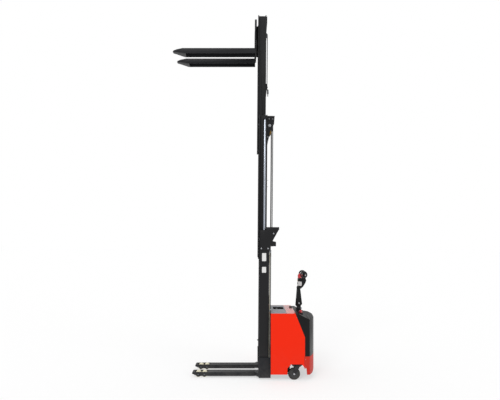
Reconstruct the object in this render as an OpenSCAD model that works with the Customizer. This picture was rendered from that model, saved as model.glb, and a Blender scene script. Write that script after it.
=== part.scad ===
// Walkie stacker with a three-stage mast, millimetres, forks towards -X, shown with the mast fully raised.
// The mast leans back by a small angle, so its pieces are drawn upright in a frame of their own.

/* [Mast] */
// Height of the top of the outer uprights above the floor
outer_top = 2057; // [1700:1:2500]
// Length of each stage that stays inside the stage below when raised
stage_overlap = 401; // [300:1:600]
// Backward lean of the mast in degrees
mast_rake = 0.42; // [0:0.01:1]
// Half the width over the outer uprights
mast_half_w = 341; // [335:1:380]
// Front face of the outer uprights, measured from the foot of the lean
outer_front = 119; // [110:1:140]
// Front to back depth of the outer uprights
outer_depth = 133; // [126:1:150]
// Front to back depth of the middle uprights
middle_depth = 118; // [112:1:125]
// Front to back depth of the inner uprights
inner_depth = 116; // [110:1:122]
// How far each stage stands ahead of the one outside it
stage_step = 20; // [18:1:26]
// Width of the flanges of the middle and inner uprights
rail_w = 70; // [60:1:74]
// Thickness of the uprights' flanges
flange_t = 14; // [10:1:15]
// Thickness of the uprights' webs
web_t = 10; // [7:1:12]
// Side gap between neighbouring uprights
rail_gap = 3; // [2:0.5:5]
// Height of the middle uprights' feet when lowered
middle_low = 103; // [95:1:140]
// How far the middle uprights' tops stand above the outer ones when lowered
middle_over = 52; // [20:1:100]
// Height of the inner uprights' feet when lowered
inner_low = 80; // [78:1:95]
// How far the inner uprights' tops stand below the outer ones when lowered
inner_under = 83; // [60:1:120]
// Thickness of the mast's cross members
cross_t = 12; // [8:1:14]

/* [Rollers and chains] */
// Diameter of the mast rollers
roller_d = 83; // [70:1:84]
// Width of the mast rollers
roller_w = 24; // [18:1:25]
// Width of the slim rollers at the middle uprights' feet
foot_roller_w = 16; // [12:1:17]
// Diameter of the rollers' stub shafts
stub_d = 20; // [16:1:20]
// Radial clearance of a running fit
run_fit = 0.05; // [0.02:0.01:0.1]
// Clearance between a roller and the flange it bears on
roll_clear = 0.4; // [0.3:0.1:1]
// Pitch radius of the main chain sheaves
sheave_r = 45; // [40:1:46]
// Distance of the main chains from the middle plane
chain_y = 185; // [180:1:188]
// Width of the leaf chains
chain_w = 16; // [12:1:18]
// Thickness of the leaf chains
chain_t = 12; // [8:1:12]
// Pitch radius of the free lift sheave
freelift_sheave_r = 40; // [38:1:40]
// Pitch radius of the hose pulley
hose_pulley_r = 30; // [26:1:32]
// Outer diameter of the lift hoses
hose_d = 12; // [8:1:12]
// Distance of the lift hose from the middle plane
hose_y = 145; // [140:1:148]

/* [Lift cylinders] */
// Diameter of the side lift rods
rod_d = 28; // [22:1:30]
// Outer diameter of the side lift barrels
barrel_d = 38; // [34:1:39]
// Rod axis, measured from the foot of the lean
rod_x = 181; // [180:1:184]
// Outer diameter of the free lift barrel
freelift_barrel_d = 50; // [46:1:50]
// Diameter of the free lift rod
freelift_rod_d = 36; // [28:1:40]
// Free lift axis, measured from the foot of the lean
freelift_x = 176; // [174:1:176]

/* [Carriage and forks] */
// Length of the fork blades
fork_len = 1150; // [900:10:1400]
// Width of each fork blade
fork_w = 160; // [150:1:170]
// Height of the fork blades
fork_h = 72; // [60:1:76]
// Distance of each fork's centre line from the middle plane
fork_y = 200; // [195:1:210]
// Thickness of the fork blades' top plate
fork_top_t = 6; // [5:1:6]
// Thickness of the fork blades' side walls
fork_wall_t = 6; // [4:1:7]
// Height of the fork tops when lowered
fork_low = 88; // [88:1:95]
// Length of the tapered fork nose
nose_len = 145; // [100:1:200]
// Front face of the fork heels, measured from the foot of the lean
heel_x = 32; // [28:1:34]
// Thickness of the fork heels
heel_t = 15; // [12:1:15]
// Thickness of the carriage bars
bar_t = 12; // [10:1:12]
// Height of the carriage above the fork tops
carriage_h = 397; // [350:1:480]
// Free height left above the carriage at full lift
carriage_margin = 95; // [80:1:150]

/* [Legs and wheels] */
// Outer face of the legs, from the middle plane
leg_outer_y = 258; // [255:1:275]
// Width of each leg
leg_w = 128; // [120:1:134]
// Height of the legs' top face
leg_top = 73.4; // [70:0.1:76]
// Height of the legs' lower edge
leg_bottom = 20; // [16:1:30]
// Distance of the leg tips ahead of the foot of the lean
leg_reach = 811; // [700:1:1000]
// Thickness of the legs' plates
leg_t = 8; // [6:1:10]
// Diameter of the load rollers
load_roller_d = 80; // [74:1:81]
// Width of the load rollers
load_roller_w = 84; // [70:1:92]
// Distance between the two load rollers of a leg
load_roller_pitch = 87; // [84:1:100]
// Diameter of the load rollers' axles
axle_d = 20; // [16:1:24]
// Diameter of the castor wheel
castor_d = 164; // [150:1:176]
// Width of the castor wheel
castor_w = 46; // [36:1:50]
// Castor wheel centre, from the middle plane
castor_y = 354; // [340:1:356]
// Distance of the castor's swivel axis behind its wheel axle
castor_trail = 44; // [38:1:60]
// Diameter of the drive wheel
drive_d = 210; // [190:1:212]
// Width of the drive wheel
drive_w = 70; // [55:1:72]
// Drive wheel centre, from the middle plane
drive_y = 280; // [270:1:282]

/* [Body] */
// Width of the body
body_w = 800; // [780:1:860]
// Gap between the outer uprights and the body at the floor
mast_to_body = 32; // [30:1:40]
// Length of the body from its front face to the middle of the rear cover
body_len = 628; // [600:1:700]
// Height of the top of the side panels
body_top = 914; // [880:1:960]
// Height of the side panels' lower edge
body_bottom = 79; // [70:1:90]
// Thickness of the steel covers
panel_t = 4; // [2:0.5:5]
// Thickness of the plastic rear cover
cover_t = 5; // [3:0.5:6]
// Bulge of the rear cover from its side edges to its middle
rear_bulge = 97; // [80:1:110]
// Length of the battery lid
lid_len = 216; // [200:1:230]
// Height of the tiller pivot
tiller_pivot_z = 1005; // [990:1:1050]

/* [Hidden] */
$fn = 96;
joint_gap = 0.4;

// Uprights, from the outside in
middle_front = outer_front - stage_step;
inner_front = middle_front - stage_step;
outer_rear = outer_front + outer_depth;
middle_rear = middle_front + middle_depth;
inner_rear = inner_front + inner_depth;
outer_web_t = 7;
barrel_room = 41.5;
outer_flange_in = mast_half_w - outer_web_t - barrel_room - foot_roller_w + 1.5;
middle_out = outer_flange_in - rail_gap;
middle_in = middle_out - rail_w;
inner_out = middle_in - rail_gap;
inner_in = inner_out - rail_w;
middle_web = (middle_in + middle_out) / 2;
inner_web = (inner_in + inner_out) / 2;
rod_y = mast_half_w - outer_web_t - barrel_d / 2 - 1.5;

// Travels and raised heights
stage_travel = outer_top - stage_overlap - middle_low;
middle_low_top = outer_top + middle_over;
inner_low_top = outer_top - inner_under;
middle_bottom = middle_low + stage_travel;
middle_top = middle_low_top + stage_travel;
inner_bottom = inner_low + 2 * stage_travel;
inner_top = inner_low_top + 2 * stage_travel;
carriage_travel = inner_low_top - fork_low - carriage_h - carriage_margin;
fork_z = fork_low + 2 * stage_travel + carriage_travel;
carriage_top = fork_z + carriage_h;
freelift_travel = carriage_travel / 2;

// Places along the mast
outer_foot = 77.6;
barrel_foot = 77.2;
rod_foot = barrel_foot + 24 + stage_travel;
outer_roller_z = outer_top - 127;
middle_roller_z = middle_bottom + 60;
middle_top_roller_z = middle_top - 120;
inner_roller_z = inner_bottom + 56;
carriage_low_roller_z = fork_z + 66;
carriage_top_roller_z = carriage_top - 74;
barrel_top = outer_roller_z - 45;
rod_ear_z = middle_top - 70;
sheave_x = middle_rear + 34;
sheave_z = middle_top - 135;
chain_rear_x = sheave_x + sheave_r;
chain_front_x = sheave_x - sheave_r;
anchor_top = outer_top - 162;
anchor_h = 61;
hose_pulley_x = inner_rear + cross_t + 3 + hose_d / 2 + hose_pulley_r;
hose_pulley_z = sheave_z - 82;
hose_rear_x = hose_pulley_x + hose_pulley_r;
hose_front_x = hose_pulley_x - hose_pulley_r;
hose_end_z = outer_top - 337;
crosshead_z = carriage_top - 185;
freelift_sheave_z = crosshead_z + 75;
freelift_rear_x = freelift_x + freelift_sheave_r;
freelift_anchor_w = 24;
freelift_front_x = freelift_x - freelift_sheave_r;
freelift_foot_z = inner_bottom + 24;
freelift_barrel_top = crosshead_z - freelift_travel - 24;
freelift_anchor_z = freelift_barrel_top + 47;
carriage_anchor_z = fork_z + 52;
heel_rear = heel_x + heel_t;
bar_rear = heel_rear + bar_t;
side_plate_y = inner_in - 4;
side_plate_t = 16;

// Stations along the body, from the foot of the lean
body_front = outer_rear + mast_to_body;
body_half = body_w / 2;
rear_x = body_front + body_len;
side_rear_x = rear_x - rear_bulge;
cut_top_x = body_front + 342;
cut_low_x = body_front + 468;
cut_low_z = body_top - 325;
arch_x = body_front + 226;
arch_top = 219;
cover_low_z = 328;
drive_x = body_front + 421;
castor_pivot_x = body_front + 366;
castor_x = castor_pivot_x - castor_trail;
deck_z = 330;
deck_t = 12;
frame_y = body_half - panel_t - 0.3;
deck_y = body_half - max(panel_t, cover_t) - 0.3;
castor_swing = norm([castor_trail + castor_d / 2, castor_w / 2]) + 3;
tiller_x = drive_x;
battery_front = body_front + 22;
battery_rear = body_front + 252;
bulkhead_x = battery_rear + 12;
roller_front_x = -leg_reach + 87;
roller_rear_x = roller_front_x + load_roller_pitch;
leg_y = leg_outer_y - leg_w / 2;
load_roller_z = load_roller_d / 2;

// The origin lies on the floor under the middle of the machine
tip_x = heel_x * cos(mast_rake) + fork_z * sin(mast_rake) - fork_len;
shift_x = -(tip_x + rear_x) / 2;

// Frames and small helpers
module placed() translate([shift_x, 0, 0]) children();
module raked() placed() rotate([0, mast_rake, 0]) children();
module both_sides() {
    children();
    mirror([0, 1, 0]) children();
}
module block(x0, x1, y0, y1, z0, z1) translate([x0, y0, z0]) cube([x1 - x0, y1 - y0, z1 - z0]);
module crossways(x, y0, y1, z, d) translate([x, y0, z]) rotate([-90, 0, 0]) cylinder(h = y1 - y0, d = d);
module side_plate(y0, y1) translate([0, y1, 0]) rotate([90, 0, 0]) linear_extrude(y1 - y0) children();

// Cross section of an upright as a flanged rail
module rail_section(front, depth, y_in, y_out, web_in, web_out) {
    translate([front, y_in]) square([flange_t, y_out - y_in]);
    translate([front + depth - flange_t, y_in]) square([flange_t, y_out - y_in]);
    translate([front, web_in]) square([depth, web_out - web_in]);
}

// A ring that rolls on a stub shaft
module roller(x, y0, y1, z, d, bore) {
    difference() {
        crossways(x, y0, y1, z, d);
        crossways(x, y0 - 1, y1 + 1, z, bore + 2 * run_fit);
    }
}

// Grooved wheel with a bore
module grooved_wheel(x, y, z, r, w, groove_w, groove_depth, bore) {
    difference() {
        crossways(x, y - w / 2, y + w / 2, z, 2 * r + 8);
        difference() {
            crossways(x, y - groove_w / 2, y + groove_w / 2, z, 2 * r + 20);
            crossways(x, y - groove_w / 2 - 1, y + groove_w / 2 + 1, z, 2 * (r - groove_depth));
        }
        crossways(x, y - w, y + w, z, bore + 2 * run_fit);
    }
}

// Half turn of a chain or hose over the top of a wheel
module wrap_ring(x, y, z, r, w, t) {
    intersection() {
        difference() {
            crossways(x, y - w / 2, y + w / 2, z, 2 * r + t);
            crossways(x, y - w, y + w, z, 2 * r - t);
        }
        block(x - 2 * r, x + 2 * r, y - w, y + w, z, z + 2 * r);
    }
}

// Outer mast: two channels, cross members, roller stubs, side gussets and the chain anchor beam
gusset = [
    [outer_front + 14, outer_top - 283], [outer_rear + 6, outer_top - 283],
    [outer_rear + 23, anchor_top - anchor_h], [outer_rear + 51, anchor_top - anchor_h],
    [outer_rear + 51, outer_top - 140], [outer_rear + 135, outer_top + 13],
    [outer_rear + 135, outer_top + 41], [outer_rear - 37, outer_top + 41],
    [outer_rear - 37, outer_top], [outer_front + 14, outer_top]
];
gusset_t = 8;
anchor_x0 = chain_rear_x - 12;
anchor_x1 = outer_rear + 93;
module outer_mast() color("#2b2b2d") raked() {
    both_sides() {
        translate([0, 0, outer_foot]) linear_extrude(outer_top - outer_foot)
            rail_section(outer_front, outer_depth, outer_flange_in, mast_half_w,
                mast_half_w - outer_web_t, mast_half_w);
        side_plate(mast_half_w, mast_half_w + gusset_t) polygon(gusset);
        crossways(middle_front + flange_t + roll_clear + roller_d / 2, middle_web + web_t / 2 + 3,
            mast_half_w - 1, outer_roller_z, stub_d);
        block(outer_front - 14, outer_front + 1, mast_half_w - 30, mast_half_w - 14, 392, 408);
    }
    for (z = [330, outer_top / 2, outer_top - 457])
        block(outer_rear - 0.5, outer_rear + cross_t, -outer_flange_in - 18, outer_flange_in + 18, z, z + 100);
    block(anchor_x1, outer_rear + 135, -mast_half_w - 1, mast_half_w + 1, outer_top + 3, outer_top + 41);
    difference() {
        block(anchor_x0, anchor_x1, -mast_half_w - gusset_t, mast_half_w + gusset_t,
            anchor_top - anchor_h, anchor_top);
        block(anchor_x0 + 6, anchor_x1 - 6, -mast_half_w + 6, mast_half_w - 6,
            anchor_top - anchor_h - 1, anchor_top - 8);
    }
    // Lower fitting of the lift hose
    block(outer_rear + cross_t - 1, hose_rear_x + 12, -hose_y - 14, -hose_y + 14, hose_end_z - 40, hose_end_z);
}

// Middle mast: two flanged rails, cross members, sheave brackets, rod ears and roller stubs
bracket_t = 8;
cheek = [
    [middle_rear - 1, middle_top], [middle_rear + 103, middle_top], [middle_rear + 96, middle_top - 110],
    [middle_rear + 60, middle_top - 190], [middle_rear + 40, middle_top - 215],
    [middle_rear + 14, middle_top - 344], [middle_rear - 1, middle_top - 344]
];
module middle_mast() color("#303032") raked() {
    both_sides() {
        difference() {
            union() {
                translate([0, 0, middle_bottom]) linear_extrude(middle_top - middle_bottom)
                    rail_section(middle_front, middle_depth, middle_in, middle_out,
                        middle_web - web_t / 2, middle_web + web_t / 2);
                side_plate(middle_in, middle_in + bracket_t) polygon(cheek);
            }
            crossways(sheave_x, middle_in - 1, middle_in + bracket_t + 1, sheave_z, 16);
        }
        // Roller stubs
        crossways(outer_rear - flange_t - roll_clear - roller_d / 2, middle_web + web_t / 2 - 1,
            middle_out + 1.5 + foot_roller_w, middle_roller_z, stub_d);
        crossways(inner_front + flange_t + roll_clear + roller_d / 2, inner_web + web_t / 2 + 3,
            middle_web - web_t / 2 + 1, middle_top_roller_z, stub_d);
        // Ear over the lift rod
        block(rod_x - rod_d / 2 - 8, middle_rear - 2, middle_web + web_t / 2 - 1, rod_y + rod_d / 2 + 2,
            rod_ear_z, rod_ear_z + 22);
        block(rod_x - 5, rod_x + 5, middle_web + web_t / 2 - 1, rod_y, rod_ear_z + 21, middle_top - 8);
        // Inner cheek and pin of the chain sheave
        block(middle_rear + 2, middle_rear + 70, chain_y - chain_w / 2 - 14, chain_y - chain_w / 2 - 6,
            sheave_z - 30, middle_top - 11);
        crossways(sheave_x, chain_y - chain_w / 2 - 13, middle_in + bracket_t + 5, sheave_z, 15.9);
        for (z = [middle_bottom + 40, middle_bottom + 320])
            block(middle_rear - 1, middle_rear + 20, middle_in, middle_out, z, z + 90);
    }
    for (z = [middle_bottom + 40, middle_bottom + 320])
        block(middle_rear + 8, middle_rear + 20, -middle_in - 2, middle_in + 2, z, z + 90);
    difference() {
        block(middle_rear - 0.5, middle_rear + 103, -middle_in - 1, middle_in + 1, middle_top - 12, middle_top);
        block(middle_rear - 1, freelift_rear_x + chain_t / 2 + 4, -freelift_anchor_w / 2 - 4,
            freelift_anchor_w / 2 + 4, middle_top - 13, middle_top + 1);
    }
    // Bracket of the hose pulley
    mirror([0, 1, 0]) {
        block(hose_pulley_x - 14, hose_pulley_x + 14, hose_y - 24, hose_y - 16, hose_pulley_z - 18,
            middle_top - 11);
        crossways(hose_pulley_x, hose_y - 20, hose_y + 12, hose_pulley_z, 12);
    }
}

// Inner mast: two flanged rails, cross members, the free lift foot, chain lugs and roller stubs
module inner_mast() color("#363638") raked() {
    inner_cross_y = chain_y - chain_w / 2 - 6;
    both_sides() {
        translate([0, 0, inner_bottom]) linear_extrude(inner_top - inner_bottom)
            rail_section(inner_front, inner_depth, inner_in, inner_out, inner_web - web_t / 2, inner_web + web_t / 2);
        crossways(middle_rear - flange_t - roll_clear - roller_d / 2, inner_web + web_t / 2 - 1,
            middle_web - web_t / 2 - 3, inner_roller_z, stub_d);
        // Lug of the main chain
        block(inner_rear - 1, chain_front_x + 8, chain_y - chain_w / 2, chain_y + chain_w / 2,
            inner_bottom, inner_bottom + 34);
    }
    difference() {
        for (z = [inner_bottom, freelift_anchor_z - 90, inner_top - 95])
            block(inner_rear - 0.5, inner_rear + cross_t, -inner_cross_y, inner_cross_y, z, z + 90);
        translate([freelift_x, 0, freelift_foot_z])
            cylinder(h = freelift_travel + freelift_barrel_top, d = freelift_barrel_d + 0.6);
        block(freelift_x - 60, inner_rear + 60, -34, 34, freelift_barrel_top + 5, freelift_sheave_z + 80);
    }
    block(inner_rear + cross_t - 1, freelift_rear_x + chain_t / 2, -freelift_anchor_w / 2, freelift_anchor_w / 2,
        freelift_anchor_z - 38, freelift_anchor_z);
    // Foot of the free lift barrel
    block(freelift_x - freelift_barrel_d / 2, inner_rear + 1, -inner_in - 1, inner_in + 1,
        inner_bottom, freelift_foot_z);
    // Lower fitting of the lift hose
    block(inner_rear - 1, hose_front_x + 7, -hose_y - 12, -hose_y + 12, inner_bottom + 80, inner_bottom + 120);
}

// Fork carriage: two bars, side plates with roller stubs and the free lift chain beam
module fork_carriage() color("#333335") raked() {
    carriage_half = fork_y + fork_w / 2;
    block(heel_rear + 0.05, bar_rear, -carriage_half, carriage_half, fork_z - fork_top_t, fork_z + 110);
    block(heel_rear + 0.05, bar_rear, -carriage_half, carriage_half, carriage_top - 125, carriage_top);
    for (y = [-150, 0, 150])
        block(heel_rear + 0.05, bar_rear, y - 25, y + 25, fork_z + 109, carriage_top - 124);
    both_sides() {
        block(bar_rear - 1, inner_rear - 20, side_plate_y - side_plate_t, side_plate_y,
            fork_z + 20, carriage_top - 30);
        crossways(inner_rear - flange_t - roll_clear - roller_d / 2, side_plate_y - 1,
            inner_web - web_t / 2 - 3, carriage_low_roller_z, stub_d);
        crossways(inner_front + flange_t + roll_clear + roller_d / 2, side_plate_y - 1,
            inner_web - web_t / 2 - 3, carriage_top_roller_z, stub_d);
    }
    block(freelift_front_x - 14, freelift_front_x + 5, -side_plate_y + 1, side_plate_y - 1,
        fork_z + 20, carriage_anchor_z);
}

// Fork: a raked heel plate and a level blade, an inverted channel that closes into a pointed nose
function level(x, z) = [x * cos(mast_rake) + z * sin(mast_rake), z * cos(mast_rake) - x * sin(mast_rake)];
module fork(side) color("#2e2e30") placed() translate([0, side * fork_y, 0]) {
    heel_bottom = fork_z - fork_top_t - 4;
    root = level(heel_x, fork_z);
    top = root[1];
    tip = root[0] - fork_len;
    nose_root = tip + nose_len;
    blade_x = nose_root + 32;
    side_plate(-fork_w / 2, fork_w / 2) polygon([
        [blade_x, top], root, level(heel_x, carriage_top), level(heel_rear, carriage_top),
        level(heel_rear, heel_bottom), level(heel_x + 8, heel_bottom), [root[0] + 8, top - fork_top_t],
        [blade_x, top - fork_top_t]
    ]);
    both_sides() block(blade_x, root[0] + 12, fork_w / 2 - fork_wall_t, fork_w / 2, top - fork_h,
        top - fork_top_t + 1);
    intersection() {
        side_plate(-fork_w / 2, fork_w / 2) polygon([
            [nose_root, top], [tip + 60, top - 7], [tip + 18, top - 17], [tip, top - 29],
            [tip + 3, top - 35], [tip + 50, top - 43], [nose_root + 24, top - fork_h],
            [nose_root + 40, top - fork_h], [nose_root + 40, top]
        ]);
        translate([0, 0, top - fork_h]) linear_extrude(fork_h) polygon([
            [nose_root + 40, -fork_w / 2], [nose_root, -fork_w / 2], [tip + 50, -fork_w / 2 + 30],
            [tip + 12, -38], [tip, -24], [tip, 24], [tip + 12, 38],
            [tip + 50, fork_w / 2 - 30], [nose_root, fork_w / 2], [nose_root + 40, fork_w / 2]
        ]);
    }
}
module fork_left() fork(-1);
module fork_right() fork(1);

// Mast rollers, a pair to a node
module outer_top_rollers() color("#8d8f92") raked() both_sides()
    roller(middle_front + flange_t + roll_clear + roller_d / 2, middle_web + web_t / 2 + 3,
        middle_web + web_t / 2 + 3 + roller_w, outer_roller_z, roller_d, stub_d);
module middle_foot_rollers() color("#8d8f92") raked() both_sides()
    roller(outer_rear - flange_t - roll_clear - roller_d / 2, middle_out + 1,
        middle_out + 1 + foot_roller_w, middle_roller_z, roller_d, stub_d);
module middle_top_rollers() color("#8d8f92") raked() both_sides()
    roller(inner_front + flange_t + roll_clear + roller_d / 2, inner_web + web_t / 2 + 3,
        inner_web + web_t / 2 + 3 + roller_w, middle_top_roller_z, roller_d, stub_d);
module inner_foot_rollers() color("#8d8f92") raked() both_sides()
    roller(middle_rear - flange_t - roll_clear - roller_d / 2, middle_web - web_t / 2 - 3 - roller_w,
        middle_web - web_t / 2 - 3, inner_roller_z, roller_d, stub_d);
module carriage_lower_rollers() color("#8d8f92") raked() both_sides()
    roller(inner_rear - flange_t - roll_clear - roller_d / 2, inner_web - web_t / 2 - 3 - roller_w,
        inner_web - web_t / 2 - 3, carriage_low_roller_z, roller_d, stub_d);
module carriage_upper_rollers() color("#8d8f92") raked() both_sides()
    roller(inner_front + flange_t + roll_clear + roller_d / 2, inner_web - web_t / 2 - 3 - roller_w,
        inner_web - web_t / 2 - 3, carriage_top_roller_z, roller_d, stub_d);

// Side lift cylinders
module lift_barrels() color("#2a2a2c") raked() both_sides() {
    difference() {
        translate([rod_x, rod_y, barrel_foot]) cylinder(h = barrel_top - barrel_foot, d = barrel_d);
        translate([rod_x, rod_y, barrel_foot + 20]) cylinder(h = barrel_top, d = rod_d + 2 * run_fit);
    }
}
module lift_rods() color("#d9dbde") raked() both_sides()
    translate([rod_x, rod_y, rod_foot]) cylinder(h = rod_ear_z - rod_foot, d = rod_d);

// Free lift cylinder in the inner mast
module freelift_barrel() color("#2a2a2c") raked() difference() {
    translate([freelift_x, 0, freelift_foot_z])
        cylinder(h = freelift_barrel_top - freelift_foot_z, d = freelift_barrel_d);
    translate([freelift_x, 0, freelift_foot_z + 24])
        cylinder(h = freelift_barrel_top, d = freelift_rod_d + 2 * run_fit);
}
module freelift_rod() color("#d9dbde") raked() {
    translate([freelift_x, 0, freelift_barrel_top - 90])
        cylinder(h = crosshead_z - freelift_barrel_top + 91, d = freelift_rod_d);
    block(freelift_x - 26, freelift_x + 26, -30, 30, crosshead_z, crosshead_z + 22);
    both_sides() block(freelift_x - 20, freelift_x + 20, 17, 25, crosshead_z + 21, freelift_sheave_z + 18);
    crossways(freelift_x, -28, 28, freelift_sheave_z, 16);
}

// Sheaves and hose pulley
module main_sheaves() color("#8d8f92") raked() both_sides()
    grooved_wheel(sheave_x, chain_y, sheave_z, sheave_r, chain_w + 8, chain_w + 1, chain_t / 2 + 0.4, 15.9);
module hose_pulley() color("#b08d3c") raked()
    grooved_wheel(hose_pulley_x, -hose_y, hose_pulley_z, hose_pulley_r, hose_d + 8, hose_d + 1,
        hose_d / 2 + 0.4, 12);
module freelift_sheave() color("#8d8f92") raked()
    grooved_wheel(freelift_x, 0, freelift_sheave_z, freelift_sheave_r, chain_w + 8, chain_w + 1,
        chain_t / 2 + 0.4, 16);

// Leaf chains and lift hose as straight strands, with their half turns over the wheels
module main_chains_rear() color("#6f7072") raked() both_sides() {
    block(chain_rear_x - chain_t / 2, chain_rear_x + chain_t / 2, chain_y - chain_w / 2, chain_y + chain_w / 2,
        anchor_top, sheave_z + 0.5);
    wrap_ring(sheave_x, chain_y, sheave_z, sheave_r, chain_w, chain_t);
}
module main_chains_front() color("#6f7072") raked() both_sides()
    block(chain_front_x - chain_t / 2, chain_front_x + chain_t / 2, chain_y - chain_w / 2, chain_y + chain_w / 2,
        inner_bottom + 34, sheave_z);
module freelift_chain_rear() color("#6f7072") raked() {
    block(freelift_rear_x - chain_t / 2, freelift_rear_x + chain_t / 2, -chain_w / 2, chain_w / 2,
        freelift_anchor_z, freelift_sheave_z + 0.5);
    wrap_ring(freelift_x, 0, freelift_sheave_z, freelift_sheave_r, chain_w, chain_t);
}
module freelift_chain_front() color("#6f7072") raked()
    block(freelift_front_x - chain_t / 2, freelift_front_x + chain_t / 2, -chain_w / 2, chain_w / 2,
        carriage_anchor_z, freelift_sheave_z);
module lift_hose_rear() color("#23241f") raked() {
    translate([hose_rear_x, -hose_y, hose_end_z]) cylinder(h = hose_pulley_z - hose_end_z, d = hose_d);
    intersection() {
        translate([hose_pulley_x, -hose_y, hose_pulley_z]) rotate([90, 0, 0])
            rotate_extrude() translate([hose_pulley_r, 0]) circle(d = hose_d);
        block(hose_pulley_x - 60, hose_pulley_x + 60, -hose_y - 20, -hose_y + 20, hose_pulley_z,
            hose_pulley_z + 60);
    }
}
module lift_hose_front() color("#23241f") raked()
    translate([hose_front_x, -hose_y, inner_bottom + 120])
        cylinder(h = hose_pulley_z - inner_bottom - 120, d = hose_d);

// Steel pipe and hose behind the near outer upright, with their clamps
pipe_top = outer_top - 297;
pipe_x = outer_rear + 8;
pipe_low = 110;
hose_low = body_top + 38;
module mast_pipes() color("#a39c80") raked() {
    pipe_y = mast_half_w - 12;
    translate([pipe_x, -pipe_y, pipe_low]) cylinder(h = pipe_top - pipe_low + 1, d = 12);
    translate([pipe_x + 13.5, -pipe_y, hose_low]) cylinder(h = pipe_top - hose_low + 1, d = hose_d);
    for (z = [pipe_top, hose_low - 18])
        block(outer_rear, pipe_x + 21, -pipe_y - 9, -pipe_y + 9, z, z + 18);
    block(outer_rear, pipe_x + 8, -pipe_y - 9, -pipe_y + 9, pipe_low - 18, pipe_low);
}
module mast_bolts() color("#b9bbbe") raked() both_sides() {
    for (p = [[outer_front + 24, outer_top - 255], [outer_rear - 16, outer_top - 255],
        [outer_rear + 59, outer_top - 48]])
        translate([p[0], mast_half_w + gusset_t, p[1]]) rotate([-90, 0, 0]) {
            cylinder(h = 2, d = 20);
            translate([0, 0, 1.5]) cylinder(h = 7, d = 15, $fn = 6);
        }
}

// Chassis: base under the mast, bulkheads, battery floor, rear deck and castor plate
base_bottom = 20;
base_rear = body_front - 0.3;
foot_plate_t = 10;
floor_z = 85;
floor_t = 8;
deck_rear = side_rear_x - 20;
bearing_z = 790;
column_d = 50;
turntable_d = 180;
castor_plate_z = arch_top - 15;
module chassis() color("#262628") placed() {
    leg_in = leg_outer_y - leg_w;
    flare_x = outer_front - 50;
    both_sides() {
        // Flared shoe that carries the leg and the uprights
        translate([0, 0, base_bottom + 6]) linear_extrude(leg_top - base_bottom - 6) polygon([
            [flare_x, leg_in], [flare_x, leg_outer_y], [flare_x + 69, mast_half_w + foot_plate_t],
            [base_rear, mast_half_w + foot_plate_t], [base_rear, leg_in]
        ]);
        block(flare_x + 50, base_rear, leg_in, mast_half_w + foot_plate_t, base_bottom, base_bottom + 7);
        block(outer_front - 6, base_rear - 8, mast_half_w + 0.02, mast_half_w + foot_plate_t, leg_top - 1, 300);
        // Side cheeks of the drive bay
        block(bulkhead_x + 1, deck_rear, deck_y - 8, deck_y, arch_top + 6, deck_z + deck_t);
    }
    block(base_rear - 90, base_rear, -leg_in - 1, leg_in + 1, base_bottom, leg_top);
    block(base_rear - 8, base_rear, -frame_y, frame_y, leg_top - 1, body_top - 44);
    block(base_rear - 8, base_rear, -mast_half_w - foot_plate_t, mast_half_w + foot_plate_t, base_bottom, leg_top);
    block(base_rear - 1, body_front + 12, -mast_half_w - 11, mast_half_w + 11, floor_z, floor_z + floor_t);
    // Battery floor and bulkhead, open where the castor swings
    difference() {
        union() {
            block(body_front + panel_t + 0.3, bulkhead_x + 8, -frame_y, frame_y, floor_z, floor_z + floor_t);
            block(bulkhead_x, bulkhead_x + 8, -frame_y, frame_y, floor_z, body_top - 54);
        }
        translate([castor_pivot_x, -castor_y, floor_z - 1]) cylinder(h = arch_top - floor_z - 20, r = castor_swing);
    }
    // Rear deck with the drive unit's turntable bore and the steering column's lower bearing
    difference() {
        union() {
            block(bulkhead_x + 7, deck_rear, -deck_y, deck_y, deck_z, deck_z + deck_t);
            translate([tiller_x, 0, deck_z]) cylinder(h = deck_t + 10, d = column_d + 40);
            block(deck_rear - 1, rear_x - 40, -60, 60, deck_z, deck_z + deck_t);
            block(bulkhead_x + 7, tiller_x + 50, -60, 60, bearing_z, bearing_z + 12);
        }
        translate([drive_x, drive_y, deck_z - 1]) cylinder(h = deck_t + 2, d = turntable_d + 2 * run_fit);
        translate([tiller_x, 0, deck_z - 1]) cylinder(h = 600, d = column_d + 2 * run_fit);
    }
    // Castor plate under the deck, on the side away from the drive wheel
    difference() {
        union() {
            block(castor_pivot_x - 60, castor_pivot_x + 60, -deck_y, -deck_y + 96, castor_plate_z,
                castor_plate_z + 10);
            for (x = [castor_pivot_x - 60, castor_pivot_x + 52])
                block(x, x + 8, -deck_y, -deck_y + 96, castor_plate_z + 9, deck_z + 1);
        }
        translate([castor_pivot_x, -castor_y, castor_plate_z - 1]) cylinder(h = 12, d = 24 + 2 * run_fit);
    }
}

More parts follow.
